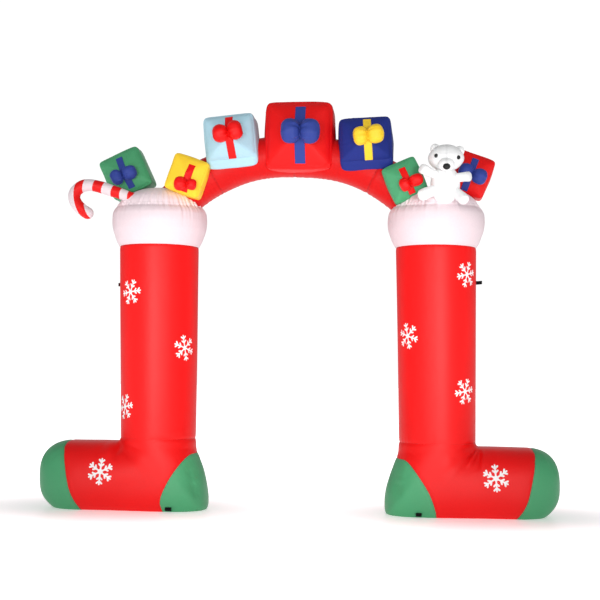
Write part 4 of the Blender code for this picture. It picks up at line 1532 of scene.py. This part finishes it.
@dataclass
class Gift:
    """A pillowed box with a ribbon down its front and a two-lobed bow."""

    name: str
    middle: Spot
    size: Spot
    tilt: float
    draw: float
    lift: float
    ribbon: Ribbon
    bow: Bow
    box_finish: ClothFinish
    bow_finish: ClothFinish
    seed: int
    power: float = 14.0
    front_draw: float = 0.500
    back_draw: float = 0.160
    bow_depth: float = 0.86
    bow_stand: float = 0.24
    cells: int = 48

    PLEATS = Pleats(pitch=0.026, wander=2.4, drift=0.07)
    PUCKER_RISE = 0.0013
    SWAY = Sway(rise=0.0013, size=0.10)
    BOW_SWAY = Sway(rise=0.0012, size=0.035)
    # Keeps the painted shade of the seam fold off the faces, which meet at the box's edges.
    SEAM_INSET = 0.0060
    # Gaps from the face to the ribbon's back and middle, rise of its middle and of its puckers.
    RIBBON_BACK = 0.0005
    RIBBON_FACE = 0.0018
    RIBBON_SWELL = 0.0006
    RIBBON_PUCKER = 0.0004
    RIBBON_COLUMNS = 13
    RIBBON_ROWS = 60
    RIBBON_PITCH = 0.019
    # Sets the seam measure back from the ribbon's edges, keeping the painted shade of the seam fold off them.
    RIBBON_INSET = 0.0035
    BOX_CROWDING = 0.45
    BOW_CROWDING = 0.6
    BOW_ROWS = 105
    BOW_COLUMNS = 88
    BOW_GAP = 0.0026
    # Height shares of the bow's gathers at the pinch, tucks at the tips and waves between them.
    BOW_GATHERS = 0.075
    BOW_TUCKS = 0.050
    BOW_WAVES = 0.022
    # Below 1, this power squares a lobe's section a little.
    BOW_POWER = 0.92
    # Columns: station from the pinch to the tip, height share, depth share.
    LOBE = (
        (0.00, 0.46, 0.16), (0.03, 0.53, 0.34), (0.08, 0.64, 0.58), (0.16, 0.78, 0.78),
        (0.30, 0.94, 0.95), (0.48, 1.00, 1.00), (0.66, 0.97, 0.96), (0.82, 0.84, 0.82),
        (0.93, 0.60, 0.56), (0.985, 0.30, 0.26), (1.00, 0.02, 0.02),
    )

    @property
    def half(self) -> np.ndarray:
        """Half sizes of the box."""
        return np.array(self.size) / 2.0

    def pillow(self, cube: np.ndarray) -> np.ndarray:
        """Points of the pillowed box from points on the unit cube's surface.

        Args:
            cube: Points with one coordinate at 1 or -1.

        Returns:
            Points about the box's middle.
        """
        size = (np.abs(cube) ** self.power).sum(axis=-1) ** (1.0 / self.power)
        out = np.empty(cube.shape)
        depth_draw = np.where(cube[..., 1] < 0.0, self.front_draw, self.back_draw)
        for i, pull in enumerate((self.draw, depth_draw, self.draw)):
            p = cube[..., (i + 1) % 3]
            q = cube[..., (i + 2) % 3]
            crown = (1.0 - p * p) * (1.0 - q * q)
            pyramid = 1.0 - np.minimum(1.0, (np.abs(p) ** 9 + np.abs(q) ** 9) ** (1.0 / 9.0)) ** 1.2
            shape = np.where(np.abs(cube[..., i]) > 0.999, pyramid, crown)
            out[..., i] = self.half[i] * cube[..., i] / size * (1.0 - pull * (1.0 - shape))
        lifted = 1.0 - self.lift * np.maximum(0.0, -3.0 * cube[..., 1] - 2.0)
        out[..., 2] *= np.where(cube[..., 2] < 0.0, lifted, 1.0)
        return out

    def skin(self, axis: int, end: float, p: np.ndarray, q: np.ndarray) -> Cloth:
        """One face of the box as cloth, about the box's middle.

        Args:
            axis: Axis that the face is square to.
            end: 1.0 or -1.0, the face's side along it.
            p: Places along the next axis, from -1 to 1.
            q: Places along the one after.

        Returns:
            The cloth with its puckers.
        """
        second, third = (axis + 1) % 3, (axis + 2) % 3
        cube = np.empty(p.shape + (3,))
        cube[..., axis] = end
        cube[..., second] = p
        cube[..., third] = q
        points = self.pillow(cube)
        from_p = self.half[second] * (1.0 - np.abs(p))
        from_q = self.half[third] * (1.0 - np.abs(q))
        gap = np.minimum(from_p, from_q)
        along = np.where(from_p < from_q, q * self.half[third], p * self.half[second])
        edge = np.where(from_p < from_q, np.sign(p), 3.0 * np.sign(q))
        start = self.seed + 7 * axis + (3 if end > 0.0 else 0)
        uneven = np.maximum(0.0, 0.4 + 0.8 * row_noise(along + 2.0 * edge, 0.09, start + 1))
        rise = self.PUCKER_RISE * uneven * fade(gap, min(self.size) * 0.12) * ease(gap, 0.0, 0.008)
        relief = self.PLEATS.wave(along, start, edge) * rise
        relief += self.SWAY.height(points, start + 2) * ease(gap, 0.0, 0.03)
        return Cloth(points + unit(points) * relief[..., None], gap + self.SEAM_INSET, along)

    def place(self, points: np.ndarray) -> np.ndarray:
        """World points from points about the box's middle."""
        x, z = turned(points[..., 0], points[..., 2], self.tilt)
        return np.stack([x, points[..., 1] + AXIS_Y, z], axis=-1) + self.middle

    def front(self, x: np.ndarray, z: np.ndarray) -> np.ndarray:
        """Depth of the box's front face at places on it."""
        up = self.half[2] * (1.0 - self.draw)
        q = np.clip(x / (self.half[0] * (1.0 - self.draw)), -1.0, 1.0)
        p = np.clip(z / np.where(z > 0.0, up, up * (1.0 - self.lift)), -1.0, 1.0)
        return self.skin(1, -1.0, p, q).points[..., 1]

    def build_box(self) -> None:
        """Makes the box from its six faces, welded along the edges."""
        t = crowded(self.cells + 1, self.BOX_CROWDING)
        p, q = lattice(t, t)
        parts = []
        for axis in range(3):
            for end in (-1.0, 1.0):
                cloth = self.skin(axis, end, p, q)
                cloth.points = self.place(cloth.points)
                parts.append(sew(f"{self.name}_face_{len(parts)}", cloth, capped=False))
        dress(join(self.name + "_box", parts), self.box_finish, self.name + "_gift", fill=0.95)

    def build_ribbon(self) -> None:
        """Makes the flat ribbon that is sewn to the front face."""
        band = self.ribbon
        down = np.linspace(band.low, band.high, self.RIBBON_ROWS)
        z, share = lattice(down, np.linspace(-0.5, 0.5, self.RIBBON_COLUMNS))
        x = band.x + band.width * share
        rim = (0.5 - np.abs(share)) * band.width
        swell = self.RIBBON_SWELL * ease(rim, 0.0, 0.004)
        pucker = self.RIBBON_PUCKER * np.sin(TAU * z / self.RIBBON_PITCH + self.seed) * fade(rim, 0.006)
        face = self.front(x, z)
        back = np.stack([x, face - self.RIBBON_BACK, z], axis=-1)
        out = np.stack([x, face - self.RIBBON_FACE - swell + pucker, z], axis=-1)
        ring = np.concatenate([out, back[:, ::-1], out[:, :1]], axis=1)
        cloth = Cloth.of(self.place(ring))
        edge = np.concatenate([rim, rim[:, ::-1], rim[:, :1]], axis=1)
        cloth.near_seam(edge + self.RIBBON_INSET, ring[..., 2])
        ribbon = dress(sew(self.name + "_band", cloth), self.bow_finish, self.name + "_ribbon")

    def bow_cloth(self) -> Cloth:
        """Both lobes of the bow as one gathered form.

        Returns:
            The cloth about the box's middle.
        """
        bow = self.bow
        t, a = lattice(crowded(self.BOW_ROWS, self.BOW_CROWDING), turns(self.BOW_COLUMNS))
        left = t < 0.0
        reach = np.abs(t)
        mean = (bow.left_height + bow.right_height) / 2.0
        full = np.where(left, bow.left_height, bow.right_height)
        full = mean + (full - mean) * ease(reach, 0.0, 0.3)
        length = np.where(left, -bow.left_reach, bow.right_reach)
        middle = float(self.front(np.array(bow.x), np.array(bow.z))) - self.BOW_GAP
        middle -= mean * self.bow_depth * self.bow_stand
        lobe = np.where(left, 1.0, 2.0)
        pull = np.sin(9.0 * a + lobe * 2.1 + self.seed) + 0.5 * np.sin(14.0 * a + lobe + 0.7 * self.seed)
        tip = np.sin(11.0 * a + lobe * 1.3 + 2.0 * self.seed)
        puff = 1.0 + self.BOW_GATHERS * pull * np.exp(-((reach / 0.34) ** 1.5))
        puff += self.BOW_TUCKS * tip * fade(1.0 - reach, 0.16)
        puff += self.BOW_WAVES * np.cos(5.0 * a + lobe + self.seed) * ease(reach, 0.2, 0.6)
        z = full / 2.0 * Rows(self.LOBE, 1)(reach) * puff * signed_power(np.cos(a), self.BOW_POWER)
        deep = full / 2.0 * self.bow_depth * Rows(self.LOBE, 2)(reach) * puff
        y = middle + deep * signed_power(np.sin(a), self.BOW_POWER)
        px, pz = turned(length * reach, z, bow.turn)
        px, pz = px + bow.x, pz + bow.z
        return Cloth.of(np.stack([px, np.minimum(self.front(px, pz) - self.BOW_GAP, y), pz], axis=-1))

    def build_bow(self) -> None:
        """Makes the bow and pins it on the ribbon."""
        cloth = self.bow_cloth()
        cloth.points = self.place(cloth.points)
        cloth.swell(self.BOW_SWAY.height(cloth.points, self.seed + 40))
        dress(sew(self.name + "_bow_lobes", cloth), self.bow_finish, self.name + "_bow", fill=0.9)

    def build(self) -> None:
        """Makes the gift's three pieces."""
        self.build_box()
        self.build_ribbon()
        self.build_bow()


GIFTS = (
    Gift("top_red", (0.004, -0.030, 2.186), (0.423, 0.420, 0.428), 0.0, 0.085, 0.00,
         Ribbon(0.0125, 0.060, -0.170, 0.162), Bow(0.019, -0.002, 0.0, 0.112, 0.143, 0.1145, 0.143),
         RED, BOW_BLUE, 101),
    Gift("light_blue", (-0.396, -0.060, 2.153), (0.323, 0.380, 0.328), 6.0, 0.080, 0.25,
         Ribbon(0.008, 0.045, -0.109, 0.134), Bow(0.006, 0.030, 7.0, 0.091, 0.103, 0.085, 0.112),
         LIGHT_BLUE, RED, 131),
    Gift("dark_blue", (0.393, -0.060, 2.138), (0.324, 0.370, 0.322), 3.4, 0.085, 0.27,
         Ribbon(0.015, 0.046, -0.104, 0.132), Bow(0.015, 0.023, 4.0, 0.082, 0.108, 0.095, 0.108),
         DARK_BLUE, YELLOW, 161),
    Gift("outer_green", (-1.039, 0.020, 1.983), (0.266, 0.245, 0.262), 25.0, 0.050, 0.00,
         Ribbon(0.0035, 0.040, -0.104, 0.093), Bow(-0.009, -0.024, -4.0, 0.0735, 0.0905, 0.0865, 0.0835),
         GREEN, BOW_BLUE, 191),
    Gift("yellow", (-0.644, -0.130, 1.946), (0.228, 0.215, 0.232), -19.0, 0.075, 0.00,
         Ribbon(0.0205, 0.039, -0.098, 0.064), Bow(0.032, -0.053, 15.0, 0.078, 0.082, 0.056, 0.065),
         YELLOW, RED, 221),
    Gift("inner_green", (0.621, -0.112, 1.919), (0.222, 0.210, 0.236), 24.0, 0.075, 0.00,
         Ribbon(0.008, 0.039, -0.093, 0.066), Bow(0.0155, -0.034, -1.0, 0.061, 0.079, 0.079, 0.069),
         GREEN, RED, 251),
    Gift("outer_red", (1.008, 0.020, 1.973), (0.228, 0.230, 0.250), -20.5, 0.065, 0.00,
         Ribbon(-0.0085, 0.040, -0.108, 0.088), Bow(0.006, -0.011, -1.7, 0.085, 0.090, 0.085, 0.092),
         RED, BOW_BLUE, 281),
)


# ---------------- bear
@dataclass
class BearBall(Sewn):
    """A rounded stuffed piece of the bear."""

    suffix = "_cloth"
    fill = 0.95
    node: str
    centre: Spot
    half: Spot
    finish: ClothFinish
    seed: int
    cheek: float = 0.0
    rows: int = 56
    columns: int = 88

    # Shares of the smallest half size: pitch and drift of the pleats, the seam's tuck, the sway.
    PITCH = 0.28
    DRIFT = 0.3
    TUCK = (0.018, 0.06, 0.012, 0.30)
    SWAY = (0.012, 1.1)

    def cloth(self) -> Cloth:
        """The piece as a ball with seams front to back and small tucks at them.

        Returns:
            The cloth.
        """
        polar, a = lattice(np.linspace(0.0, math.pi, self.rows), turns(self.columns))
        around = np.sin(polar)
        x, z = around * np.cos(a), np.cos(polar)
        broad = 1.0 + self.cheek * bell(z + 0.15, 0.45) * np.abs(x) ** 2
        grid = np.stack([x * broad, around * np.sin(a), z], axis=-1) * self.half
        grid = grid + self.centre + (0.0, AXIS_Y, 0.0)
        cloth = Cloth.of(grid)
        scale = min(self.half)
        tuck = Tuck(*(scale * share for share in self.TUCK))
        pleats = Pleats(self.PITCH * scale, 2.0, self.DRIFT * scale)
        sway = Sway(*(scale * share for share in self.SWAY))
        seam = np.abs(np.sin(a - math.pi / 2.0)) * around * self.half[0]
        run = polar * self.half[2]
        cloth.near_seam(seam, run)
        relief = sway.height(grid, self.seed + 1)
        relief += (pleats.wave(run, self.seed) * tuck.height(seam) - tuck.valley(seam)) * around
        cloth.swell(relief)
        return cloth


@dataclass
class BearLimb(Sewn):
    """A stubby arm or leg with a flat round paw."""

    suffix = "_cloth"
    finish = BEAR_WHITE
    fill = 0.95
    node: str
    root: Spot
    tip: Spot
    radius: float
    seed: int
    rows: int = 44
    paw_rows: int = 14
    columns: int = 72

    # The shaft's share of the length, the paw seam's place on it and the paw's swell.
    SHAFT = 0.99
    PAW_SEAM = 0.985
    PAW_SWELL = 0.16
    SWAY = Sway(rise=0.0011, size=0.045)
    PAW_TUCK = Tuck(depth=0.0010, width=0.0028, rise=0.0007, reach=0.012)
    # Columns: share of the length, share of the radius.
    PROFILE = (
        (0.00, 0.86), (0.25, 0.93), (0.55, 0.99),
        (0.86, 1.03), (0.955, 1.00), (0.99, 0.92),
    )

    def cloth(self) -> Cloth:
        """The limb with a seam round its paw.

        Returns:
            The cloth.
        """
        root = np.array(self.root) + (0.0, AXIS_Y, 0.0)
        tip = np.array(self.tip) + (0.0, AXIS_Y, 0.0)
        length = float(np.linalg.norm(tip - root))
        ahead = (tip - root) / length
        side = unit(np.cross(ahead, (0.0, 0.0, 1.0)))
        up = np.cross(side, ahead)
        share = np.concatenate([np.linspace(0.0, self.SHAFT, self.rows), np.full(self.paw_rows, self.SHAFT)])
        radius = Rows(self.PROFILE)(share) * self.radius
        paw = np.sin(np.linspace(0.0, math.pi / 2.0, self.paw_rows + 1))[1:]
        radius[self.rows:] = radius[self.rows - 1] * np.cos(np.arcsin(paw))
        bulge = np.concatenate([np.zeros(self.rows), self.radius * self.PAW_SWELL * paw])
        spine = root + ahead * (length * share + bulge)[:, None]
        angles = turns(self.columns)[:, None]
        ring = side * np.cos(angles) + up * np.sin(angles)
        cloth = Cloth.of(spine[:, None] + ring * radius[:, None, None])
        gap, a = lattice(np.abs(share - self.PAW_SEAM) * length + bulge, turns(self.columns))
        cloth.near_seam(gap, a * self.radius)
        wave = np.sin(13.0 * a + 1.3 * np.sin(3.0 * a + self.seed))
        relief = wave * self.PAW_TUCK.height(gap) - self.PAW_TUCK.valley(gap)
        relief += self.SWAY.height(cloth.points, self.seed)
        relief[self.rows:] *= np.linspace(1.0, 0.0, self.paw_rows)[:, None]
        cloth.swell(relief)
        return cloth


@dataclass
class Bear:
    """The white bear that sits on the right cuff."""

    x: float = 0.852
    head_cheek: float = 0.05

    # Columns: node, x y z of the centre, half sizes.
    BALLS = (
        ("bear_head", (0.000, -0.240, 2.031), (0.098, 0.085, 0.076)),
        ("bear_body", (-0.004, -0.235, 1.878), (0.083, 0.078, 0.110)),
        ("bear_muzzle", (-0.001, -0.310, 1.982), (0.047, 0.040, 0.038)),
        ("bear_left_ear", (-0.061, -0.232, 2.085), (0.028, 0.023, 0.029)),
        ("bear_right_ear", (0.076, -0.232, 2.072), (0.028, 0.023, 0.029)),
        ("bear_nose", (0.000, -0.347, 1.965), (0.021, 0.013, 0.018)),
        ("bear_left_eye", (-0.056, -0.308, 2.032), (0.012, 0.008, 0.012)),
        ("bear_right_eye", (0.066, -0.303, 2.023), (0.012, 0.008, 0.012)),
    )
    # Rows and columns of the small black pieces.
    SMALL = (24, 36)
    DARK = ("bear_nose", "bear_left_eye", "bear_right_eye")
    # Columns: node, root x y z, tip x y z, radius.
    LIMBS = (
        ("bear_left_arm", (-0.050, -0.258, 1.926), (-0.141, -0.328, 1.959), 0.027),
        ("bear_right_arm", (0.050, -0.250, 1.915), (0.132, -0.296, 1.917), 0.027),
        ("bear_left_leg", (-0.045, -0.245, 1.858), (-0.140, -0.325, 1.805), 0.032),
        ("bear_right_leg", (0.040, -0.245, 1.850), (0.102, -0.325, 1.779), 0.031),
    )

    def shifted(self, spot: Spot) -> Spot:
        """A place with the bear's own place across added."""
        return (spot[0] + self.x, spot[1], spot[2])

    def build(self) -> None:
        """Makes all of the bear's pieces."""
        for k, (node, centre, half) in enumerate(self.BALLS):
            cheek = self.head_cheek if node == "bear_head" else 0.0
            dark = node in self.DARK
            finish = BLACK if dark else BEAR_WHITE
            fine = self.SMALL if dark else ()
            BearBall(node, self.shifted(centre), half, finish, 400 + 7 * k, cheek, *fine).build()
        for k, (node, root, tip, radius) in enumerate(self.LIMBS):
            BearLimb(node, self.shifted(root), self.shifted(tip), radius, 500 + k).build()


# ---------------- webbing
@dataclass
class WebbingLoop(Sewn):
    """A folded strap whose two ends are caught in a seam, open like a belt loop."""

    suffix = "_strap"
    finish = WEBBING
    node: str
    root: Spot
    reach: Spot
    across: Spot
    width: float
    slot: float
    lift: float = 0.0
    thick: float = 0.0018
    caught: float = 0.006
    straight_rows: int = 14
    bight_rows: int = 13

    def path(self) -> np.ndarray:
        """Middle line of the strap, out and back.

        Returns:
            Points from the root round the bight to the root.
        """
        away = np.array(self.reach)
        length = float(np.linalg.norm(away))
        ahead = away / length
        side = np.cross(np.array(self.across), ahead)
        radius = (self.slot + self.thick) / 2.0
        out = np.linspace(-self.caught, length - radius, self.straight_rows)
        turn = np.linspace(-math.pi / 2.0, math.pi / 2.0, self.bight_rows + 2)[1:-1]
        level = np.full(self.straight_rows, radius)
        u = np.concatenate([out, length - radius + radius * np.cos(turn), out[::-1]])
        v = np.concatenate([-level, radius * np.sin(turn), level])
        bend = self.lift * np.clip(u / length, 0.0, 1.0) ** 2
        return self.root + ahead * u[:, None] + side * v[:, None] + np.array(self.across) * bend[:, None]

    def cloth(self) -> Cloth:
        """The strap as a flat band with rounded edges.

        Returns:
            The cloth.
        """
        path = self.path()
        ahead = unit(np.gradient(path, axis=0))
        across = np.array(self.across)
        face = np.cross(ahead, across)
        t = turns(24)
        wide = signed_power(np.cos(t), 0.25) * self.width / 2.0
        deep = signed_power(np.sin(t), 0.6) * self.thick / 2.0
        return Cloth.of(path[:, None] + across * wide[None, :, None] + face[:, None] * deep[None, :, None])


@dataclass
class WebbingLoops:
    """Two tether loops on the legs' outer sides and two stake tabs at the heels."""

    tether_width: float = 0.020
    tether_slot: float = 0.010
    tether_share: float = 0.8
    tab_reach: float = 0.034
    tab_slot: float = 0.018
    tab_z: float = 0.018
    heel_front: float = 0.164

    # Columns: side, height, reach, lift of the tip.
    TETHERS = ((Side.LEFT, 1.317, 0.016, 0.000), (Side.RIGHT, 1.340, 0.034, 0.003))
    # Columns: side, x, width.
    TABS = ((Side.LEFT, -0.715, 0.036), (Side.RIGHT, 0.712, 0.032))

    def build(self) -> None:
        """Makes the four straps."""
        edge = LEG_X + LEG_LOW + (LEG_TOP - LEG_LOW) * self.tether_share
        loops = []
        for side, height, reach, lift in self.TETHERS:
            root = (side.value * edge + LEAN * (height - INSTEP_Z), AXIS_Y, height)
            loops.append(WebbingLoop(side.tag + "_tether_loop", root, (side.value * reach, 0.0, 0.0),
                                     (0.0, 0.0, 1.0), self.tether_width, self.tether_slot, lift))
        for side, x, width in self.TABS:
            root = (x, AXIS_Y - self.heel_front, self.tab_z)
            loops.append(WebbingLoop(side.tag + "_stake_tab", root, (0.0, -self.tab_reach, 0.0),
                                     (1.0, 0.0, 0.0), width, self.tab_slot))
        for loop in loops:
            loop.build()


# ---------------- snowflakes
@dataclass(frozen=True)
class Snowflake:
    """A six-armed flake printed on a panel."""

    side: Side
    panel: str
    x: float
    z: float
    turn: float
    bold: float = 1.0
    size: float = 0.152
    cells: int = 96

    # Shares of the flake's radius: its hub, the length and half width of an arm, the grid's edge.
    HUB = 0.165
    ARM = 0.955
    ARM_WIDTH = 0.050
    EDGE = 1.06
    # Degrees between an arm and its branches.
    BRANCH_TURN = 48.0
    # Columns: start along the arm, branch length, half width, all as shares of the flake's radius.
    BRANCHES = ((0.40, 0.24, 0.055), (0.70, 0.25, 0.058))
    # How far the ink stands off the cloth, the leg's radius where it is laid, and how far off
    # the leg's axis and in front of the foot the pressing starts.
    PROUD = 0.0007
    LEG_RADIUS = 0.228
    CLEAR = 0.5
    BEFORE = -0.9

    def field(self, u: np.ndarray, v: np.ndarray) -> np.ndarray:
        """Signed distance from the flake's outline, below zero in the ink.

        Args:
            u: Places across, as shares of the flake's radius.
            v: Places up, likewise.

        Returns:
            The distances, as shares of the radius.
        """
        level = np.hypot(u, v) - self.HUB * self.bold
        branch = math.radians(self.BRANCH_TURN)
        for k in range(6):
            p, q = turned(u, v, -self.turn - 60.0 * k)
            q = np.abs(q)
            bars = [(0.0, self.ARM, 0.0, self.ARM_WIDTH)]
            bars += [(start, start + length * math.cos(branch), length * math.sin(branch), wide)
                     for start, length, wide in self.BRANCHES]
            for start, end, off, wide in bars:
                _, off_p, off_q = beside(p, q, (start, 0.0), (end, off))
                level = np.minimum(level, np.hypot(off_p, off_q) - wide * self.bold)
        return level

    def build(self, name: str, panels: dict[str, BVHTree]) -> None:
        """Lays the flake on its panel.

        Args:
            name: Name of the print.
            panels: Surfaces by node name.
        """
        t = np.linspace(-self.EDGE, self.EDGE, self.cells)
        u, v = lattice(t, t)
        faces, added = clip_cells(self.field(u, v))
        spots = with_added(np.stack([u.ravel(), v.ravel()], axis=-1), added)
        used = sorted({i for face in faces for i in face})
        number = {old: new for new, old in enumerate(used)}
        mesh = bpy.data.meshes.new(name)
        mesh.from_pydata([self.press(spots[i], panels[self.panel]) for i in used], [],
                         [tuple(number[i] for i in face) for face in faces])
        bm = bmesh.new()
        bm.from_mesh(mesh)
        bmesh.ops.recalc_face_normals(bm, faces=bm.faces[:])
        if sum(face.normal.y for face in bm.faces) > 0.0:
            bmesh.ops.reverse_faces(bm, faces=bm.faces[:])
        for face in bm.faces:
            face.smooth = True
        bm.to_mesh(mesh)
        bm.free()
        dress(put(name, mesh), PRINT)

    def press(self, spot: np.ndarray, panel: BVHTree) -> Spot:
        """Drops one point of the flake on the panel along the panel's own curve.

        Args:
            spot: Place on the flake, as shares of its radius.
            panel: Surface to lie on.

        Returns:
            The point in space.
        """
        across, up = spot * self.size / 2.0
        z = self.z + up
        if self.panel.endswith("leg"):
            axis = self.side.value * LEG_X + LEAN * (z - INSTEP_Z)
            a = math.asin((self.x - axis) / self.LEG_RADIUS) + across / self.LEG_RADIUS
            away = Vector((math.sin(a), -math.cos(a), 0.0))
            origin = Vector((axis, AXIS_Y, z)) + away * self.CLEAR
        else:
            away = Vector((0.0, -1.0, 0.0))
            origin = Vector((self.x + across, self.BEFORE, z))
        hit = panel.ray_cast(origin, -away)[0]
        return tuple(hit + away * self.PROUD)


FLAKES = (
    Snowflake(Side.LEFT, "left_leg", -0.9575, 1.263, 66.5),
    Snowflake(Side.LEFT, "left_leg", -0.643, 0.9425, 102.0),
    Snowflake(Side.LEFT, "left_leg", -0.991, 0.598, 70.0),
    Snowflake(Side.LEFT, "left_foot", -1.1095, 0.2265, 85.5, bold=1.2),
    Snowflake(Side.RIGHT, "right_leg", 0.9755, 1.377, 73.0),
    Snowflake(Side.RIGHT, "right_leg", 0.643, 1.024, 103.0),
    Snowflake(Side.RIGHT, "right_leg", 0.972, 0.713, 70.0),
    Snowflake(Side.RIGHT, "right_foot", 1.139, 0.232, 95.0, bold=1.2),
)


# ---------------- studio
@dataclass
class Studio:
    """White floor with painted shadow and painted red bounce round the feet, surroundings, two low front
    softboxes and the camera.
    """

    camera_at: Spot = (0.6133, -6.977, 0.8512)
    yaw: float = 4.909
    pitch: float = 3.109
    roll: float = 0.678
    lens: float = 71.84
    sensor: float = 36.0
    floor_half: float = 40.0
    # Pinkish floor paint: painted red bounce from the stockings, seen where the floor's glow is low round the
    # feet.
    red_bounce_floor_paint: Colour = (0.89, 0.80, 0.83)
    floor_roughness: float = 0.42
    # Painted shadow round the feet: the middle of each pool across, the squash of its width, the glow inside
    # the pools, the glow added outside, and where that rise starts and ends.
    foot_x: float = 1.10
    shadow_pool_share: float = 0.62
    shadow_pool_glow: float = 0.38
    glow_past_shadow_pool: float = 0.56
    shadow_pool_from: float = 0.20
    shadow_pool_to: float = 0.95
    side_loss: float = 0.85
    seen_white: float = 1.05
    box_size: Pair = (1.3, 1.6)
    box_spread: float = 30.0

    # Columns: share of the way up, brightness of the surroundings there.
    SKY = ((0.00, 0.04), (0.35, 1.14), (0.80, 0.30))
    # Columns: name, where it stands, where it points, watts.
    SOFTBOXES = (
        ("left_softbox", (-1.2, -5.6, 1.10), (-0.4, 0.0, 1.10), 7.2),
        ("right_softbox", (2.0, -5.6, 1.10), (0.4, 0.0, 1.10), 7.0),
    )

    def camera(self) -> None:
        """Sets the camera up, turned by yaw, tilted by pitch and rolled."""
        yaw, pitch, roll = (math.radians(v) for v in (self.yaw, self.pitch, self.roll))
        ahead = Vector((-math.sin(yaw) * math.cos(pitch), math.cos(yaw) * math.cos(pitch), math.sin(pitch)))
        level = Vector((math.cos(yaw), math.sin(yaw), 0.0))
        upright = level.cross(ahead)
        right = level * math.cos(roll) + upright * math.sin(roll)
        up = upright * math.cos(roll) - level * math.sin(roll)
        data = bpy.data.cameras.new("camera")
        data.sensor_width = self.sensor
        data.lens = self.lens
        obj = put("camera", data)
        place = Matrix((right, up, -ahead)).transposed().to_4x4()
        place.translation = Vector(self.camera_at)
        obj.matrix_world = place
        bpy.context.scene.camera = obj

    def floor(self) -> None:
        """Lays a wide white floor, which glows more away from the arch's feet, leaving a painted shadow round
        each foot; its pinkish paint is painted red bounce.
        """
        mesh = bpy.data.meshes.new("studio_floor")
        far = self.floor_half
        corners = [(-far, -far, 0.0), (far, -far, 0.0), (far, far, 0.0), (-far, far, 0.0)]
        mesh.from_pydata(corners, [], [(0, 1, 2, 3)])
        material, kit = fresh_material("studio_floor_painted_shadow")
        x, y, _ = kit.parts(kit.add("TexCoord").outputs["Object"])
        # Painted shadow: the glow rises with the distance from the nearest foot, from the pools round the
        # feet to the open floor.
        from_foot = kit.maths("SUBTRACT", kit.maths("ABSOLUTE", x), self.foot_x)
        offsets = (kit.maths("MULTIPLY", from_foot, self.shadow_pool_share), kit.maths("SUBTRACT", y, AXIS_Y))
        away = kit.maths("SQRT", kit.maths("ADD", *(kit.maths("MULTIPLY", off, off) for off in offsets)))
        share = kit.add("MapRange", interpolation_type="SMOOTHSTEP", Value=away, From_Min=self.shadow_pool_from,
                        From_Max=self.shadow_pool_to)
        shadowed_glow = kit.maths("MULTIPLY_ADD", share.outputs[0], self.glow_past_shadow_pool, self.shadow_pool_glow)
        # Pinkish paint: painted red bounce.
        kit.finish(Base_Color=shade(self.red_bounce_floor_paint, 1.0), Roughness=self.floor_roughness,
                   Emission_Color=(1.0, 1.0, 1.0, 1.0), Emission_Strength=shadowed_glow)
        mesh.materials.append(material)
        put("studio_floor", mesh)

    def world(self) -> None:
        """White surroundings, bright round the horizon, dim overhead and at the sides."""
        world = bpy.data.worlds.new("studio_white")
        bpy.context.scene.world = world
        world.use_nodes = True
        kit = Nodes(world.node_tree, "Background")
        x, _, z = kit.parts(kit.add("TexCoord").outputs["Generated"])
        ramp = kit.add("ValToRGB", Fac=z)
        steps = ramp.color_ramp.elements
        steps.new(self.SKY[1][0])
        for step, (place, level) in zip(steps, self.SKY):
            step.position = place
            step.color = (level, level, level, 1.0)
        kept = kit.maths("MULTIPLY_ADD", kit.maths("MULTIPLY", x, x), -self.side_loss, 1.0)
        level = kit.maths("MULTIPLY", ramp.outputs[0], kept)
        seen = kit.add("LightPath").outputs["Is Camera Ray"]
        kit.finish(Color=(1.0, 1.0, 1.0, 1.0), Strength=kit.blend(seen, level, self.seen_white, "FLOAT"))

    def softbox(self, name: str, place: Spot, target: Spot, power: float) -> None:
        """Adds one rectangular light.

        Args:
            name: Name of the light.
            place: Where it stands.
            target: Where it points.
            power: Watts.
        """
        data = bpy.data.lights.new(name, "AREA")
        data.shape = "RECTANGLE"
        data.size, data.size_y = self.box_size
        data.energy = power
        data.spread = math.radians(self.box_spread)
        obj = put(name, data)
        obj.location = place
        obj.rotation_euler = (Vector(target) - Vector(place)).to_track_quat("-Z", "Y").to_euler()

    def build(self) -> None:
        """Sets up the camera, the floor, the surroundings and the lights."""
        self.camera()
        self.floor()
        self.world()
        for row in self.SOFTBOXES:
            self.softbox(*row)
        scene = bpy.context.scene
        scene.view_settings.view_transform = "Standard"
        scene.view_settings.look = "None"


def surface_of(obj: bpy.types.Object) -> BVHTree:
    """The object's surface, to press prints on."""
    points = [vertex.co.copy() for vertex in obj.data.vertices]
    return BVHTree.FromPolygons(points, [tuple(face.vertices) for face in obj.data.polygons])


def main() -> None:
    """Builds every piece of the arch, its prints and the studio round it."""
    logging.basicConfig(level=logging.INFO, format="%(message)s")
    Studio().build()
    panels: dict[str, bpy.types.Object] = {}
    for stocking in (Stocking(Side.LEFT, LEFT_FOLDS, LEFT_HEEL, LEFT_TOE, 11),
                     Stocking(Side.RIGHT, RIGHT_FOLDS, RIGHT_HEEL, RIGHT_TOE, 61)):
        panels |= stocking.build()
    cuffs = (Cuff(Side.LEFT, 3), Cuff(Side.RIGHT, 8))
    for part in (*cuffs, ArchTube(), CandyCane(), *GIFTS, Bear(), WebbingLoops()):
        part.build()
    surfaces = {node: surface_of(panel) for node, panel in panels.items()}
    for number, flake in enumerate(FLAKES, 1):
        flake.build(f"snowflake_{number}", surfaces)


if __name__ == "__main__":
    main()
